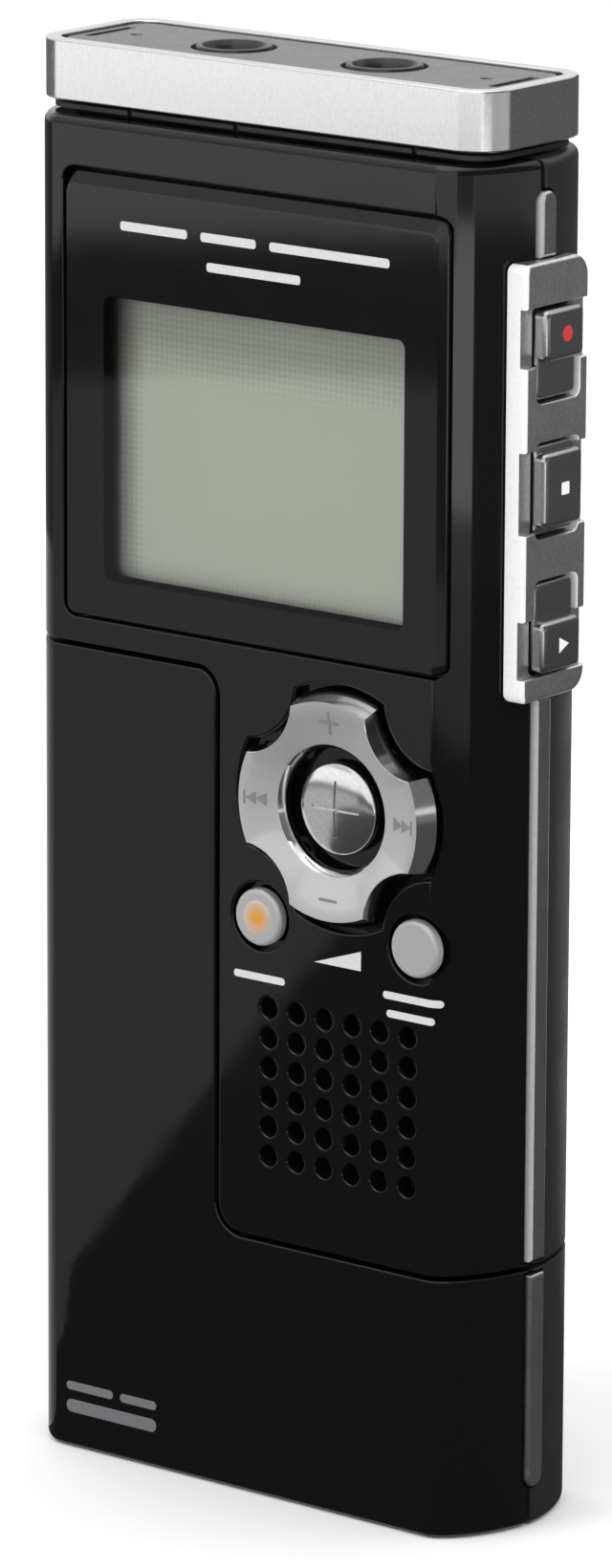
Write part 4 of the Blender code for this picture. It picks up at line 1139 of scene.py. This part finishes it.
def bracket():
    face = BRACKET_HIGH[0]
    ys = (BRACKET_LOW[1], BRACKET_HIGH[1])
    zs = (BRACKET_LOW[2], BRACKET_HIGH[2])
    block = pillow(lambda i: uneven(grown(ys, -i), grown(zs, -i), [r - i for r in BRACKET_CORNERS]),
                   17.5, face, 0.0, 0.3, "X", 5)
    cut(block, prism(body_section(-0.15), -FAR, FAR * 2))
    windows = [flared(lambda g, k=key: side_key_window(k, 0.2 + g), face, 15.0, 0.12, "X", 3)
               for key in SIDE_KEYS]
    cut(block, merged(windows))
    reliefs = [flared(lambda g, k=key: rounded((-FAR, FAR), raised_range(k, 0.2 + g), 0.05 + g, 3),
                      face, face - 0.5, 0.14, "X", 3) for key in SIDE_KEYS]
    cut(block, merged(reliefs))
    painted_light_front(block, BRACKET_METAL, BRACKET_PAINTED_LIGHT_WALL)
    stand_in(block, "side_button_bracket", None, "control_unit")


def side_key(name):
    zs = side_key_range(name)
    raised = raised_range(name)
    foot = node_box(name + "_button")[0][0]
    low = slab(SIDE_KEY_Y, zs, 0.5, foot, SIDE_KEY_STEP, 0.0, 0.25, "X", steps=6)
    pad = slab(grown(SIDE_KEY_Y, -0.015), grown(raised, -0.01), 0.5,
               18.5, SIDE_KEY_FACE - 0.015, 0.0, 0.4, "X", steps=6)
    flange = box((foot, foot + 0.6), grown(SIDE_KEY_Y, 0.45), grown(zs, 0.5))
    join(low, pad, flange)
    stand_in(low, name + "_button", SIDE_KEY_METAL, name + "_key")


def side_key_mark(name, outline, material):
    mark = prism(outline, SIDE_KEY_FACE - 0.2, SIDE_KEY_FACE, "X")
    show(mark, name + "_button_mark", material, name + "_key")


def side_marks():
    middle_y = sum(SIDE_KEY_Y) / 2
    rec_z, stop_z, play_z = (sum(raised_range(name)) / 2 for name in SIDE_KEYS)
    side_key_mark("rec", circle(middle_y + 0.15, rec_z, 0.52, 32), MARK_RED)
    square = rounded((middle_y - 0.3, middle_y + 0.5), (stop_z - 0.4, stop_z + 0.4), 0.08, 3)
    side_key_mark("stop", square, MARK_WHITE)
    left, right = middle_y - 0.35, middle_y + 0.65
    side_key_mark("play", [(left, play_z - 0.5), (right, play_z), (left, play_z + 0.5)], MARK_WHITE)


def trims():
    for name in TRIMS:
        low, high = node_box(name)
        body = "battery_unit" if name == "lower_side_trim" else "control_unit"
        strip = pillow(lambda i, n=name: trim_outline(n, -i), low[0], high[0], 0.0, 0.3, "X", 5)
        # Painted light on the upper and middle trims' edges that face the front.
        painted_light_front(strip, TRIM_METAL, TRIM_METAL if name == "lower_side_trim" else TRIM_PAINTED_LIGHT_EDGE)
        stand_in(strip, name, None, body)


cap()
neck()
jack_collar("earphone_jack_collar", -JACK_X)
jack_collar("microphone_jack_collar", JACK_X)
display()
nav_ring()
nav_marks()
ok_key()
small_key("erase_button", "erase_key")
small_key("folder_button", "folder_key")
erase_dot()
bracket()
for side_key_name in SIDE_KEYS:
    side_key(side_key_name)
side_marks()
trims()


# ---- prints on the shells

def printed(name, body, material, *shapes):
    """A thin print that follows the shell's outer surface."""
    prints = merged([prism(shape, -FAR, -INNER, "Y") for shape in shapes])
    keep(prints, prism(body_section(-0.015), -FAR, 2 * FAR))
    cut(prints, prism(body_section(0.02), -FAR, 2 * FAR))
    show(prints, name, material, body)


def print_bar(us, v, height):
    return rounded(us, (v - height / 2, v + height / 2), height / 2 - 0.02, 4)


printed(
    "key_labels", "control_unit", LABEL,
    print_bar((KEYS_X - 8.5, KEYS_X - 4.3), 35.4, 0.5),
    [(KEYS_X - 1.9, 37.2), (KEYS_X + 1.9, 37.2), (KEYS_X + 1.9, 38.5)],
    print_bar((KEYS_X + 3.7, KEYS_X + 8.3), 36.0, 0.5),
    print_bar((KEYS_X + 4.0, KEYS_X + 7.8), 34.8, 0.5),
)
printed("foot_labels", "battery_unit", DIM_LABEL, print_bar((-14.6, -10.6), 4.4, 0.6),
        print_bar((-10.0, -6.9), 4.4, 0.6), print_bar((-14.6, -6.9), 3.0, 0.9))


# ---- back and left side

def hold_slider():
    low, high = node_box("hold_switch")
    zs = (68.4, 72.8)
    knob = box((low[0], -17.0), (-0.9, 0.9), zs)
    soften(knob, 0.22, 4)
    ribs = [box((-FAR, low[0] + 0.25), (-FAR, FAR), (69.3 + i, 69.7 + i)) for i in range(3)]
    cut(knob, merged(ribs))
    soften(knob, 0.05, 2)
    join(knob, box((-17.4, -16.8), (-1.5, 1.5), (low[2], high[2])))
    stand_in(knob, "hold_switch", SATIN_BLACK, "hold_slider")


def release_key():
    low, high = node_box("release_button")
    face = slab((KEYS_X - 3.9, KEYS_X + 3.9), (23.6, 26.6), 0.7, 4.9, high[1], 0.0, 0.25, "Y")
    ridges = [box((KEYS_X - 2.4, KEYS_X + 2.4), (high[1] - 0.12, FAR), (z, z + 0.2))
              for z in (24.3 + 0.55 * i for i in range(4))]
    cut(face, merged(ridges))
    join(face, box((low[0], high[0]), (low[1], 5.25), (low[2], high[2])))
    stand_in(face, "release_button", SATIN_BLACK, "release_key")


def cell_cover():
    low, high = COVER_LOW, COVER_HIGH
    cover = box((low[0] + 0.7, high[0] - 0.7), (low[1], high[1]), (low[2], high[2]))
    soften(cover, 0.12, 3)
    tongue = box((low[0], high[0]), (low[1], low[1] + 0.6), (low[2] + 1.0, high[2]))
    join(cover, tongue)
    grips = [pillow(lambda i, z=z: rounded((-12.6 + i, -7.0 - i), (z - 0.3 + i, z + 0.3 - i), 0.25 - i / 2),
                    high[1] - 0.3, high[1] + 0.2, 0.12, 0.0, "Y") for z in (5 + 1.6 * k for k in range(4))]
    cut(cover, merged(grips))
    stand_in(cover, "battery_cover", SATIN_BLACK, "battery_cover")


hold_slider()
release_key()
cell_cover()


# ---- inner pieces

def finished(material, edge, *nodes):
    """Give CAD nodes a material and fine rounded edges."""
    for name in nodes:
        node = frame["nodes"][name]
        node.data.materials.clear()
        node.data.materials.append(material)
        node.data.shade_smooth()
        weld = node.modifiers.new("Weld", "WELD")
        weld.merge_threshold = 0.002 * MM
        bevel = node.modifiers.new("Bevel", "BEVEL")
        bevel.width = edge * MM
        bevel.segments = 2
        bevel.limit_method = "ANGLE"
        bevel.angle_limit = radians(40)
        node.modifiers.new("Weighted Normal", "WEIGHTED_NORMAL").keep_sharp = True


finished(MATT_BLACK, 0.05, "earphone_jack", "microphone_jack", "processor_chip", "memory_chip",
         "speaker_mesh", "usb_sleeve")
finished(BRIGHT, 0.05, "left_microphone", "right_microphone", "key_dome_sheet", "rec_switch", "stop_switch",
         "play_switch", "speaker", "usb_plug_shell", "battery_spring", "battery_plus_contact",
         "timing_crystal")
finished(SCREW_METAL, 0.04, *(name for name in frame["nodes"] if name.endswith("_screw")))
finished(GOLD, 0.04, *(name for name in frame["nodes"] if name.startswith("power_")))
finished(WHITE, 0.08, "display_holder", "usb_plug_tongue", "nav_pivot_plate")
finished(LIGHT_GUIDE, 0.08, "display_light_guide")
finished(RUBBER, 0.08, "display_connector_strip", "speaker_gasket")
finished(BOARD_MASK, 0.03, "main_circuit_board", "side_switch_board")
finished(CELL_WRAP, 0.1, "battery_cell")

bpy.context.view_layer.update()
for old in list(TOOLS.objects):
    bpy.data.objects.remove(old, do_unlink=True)
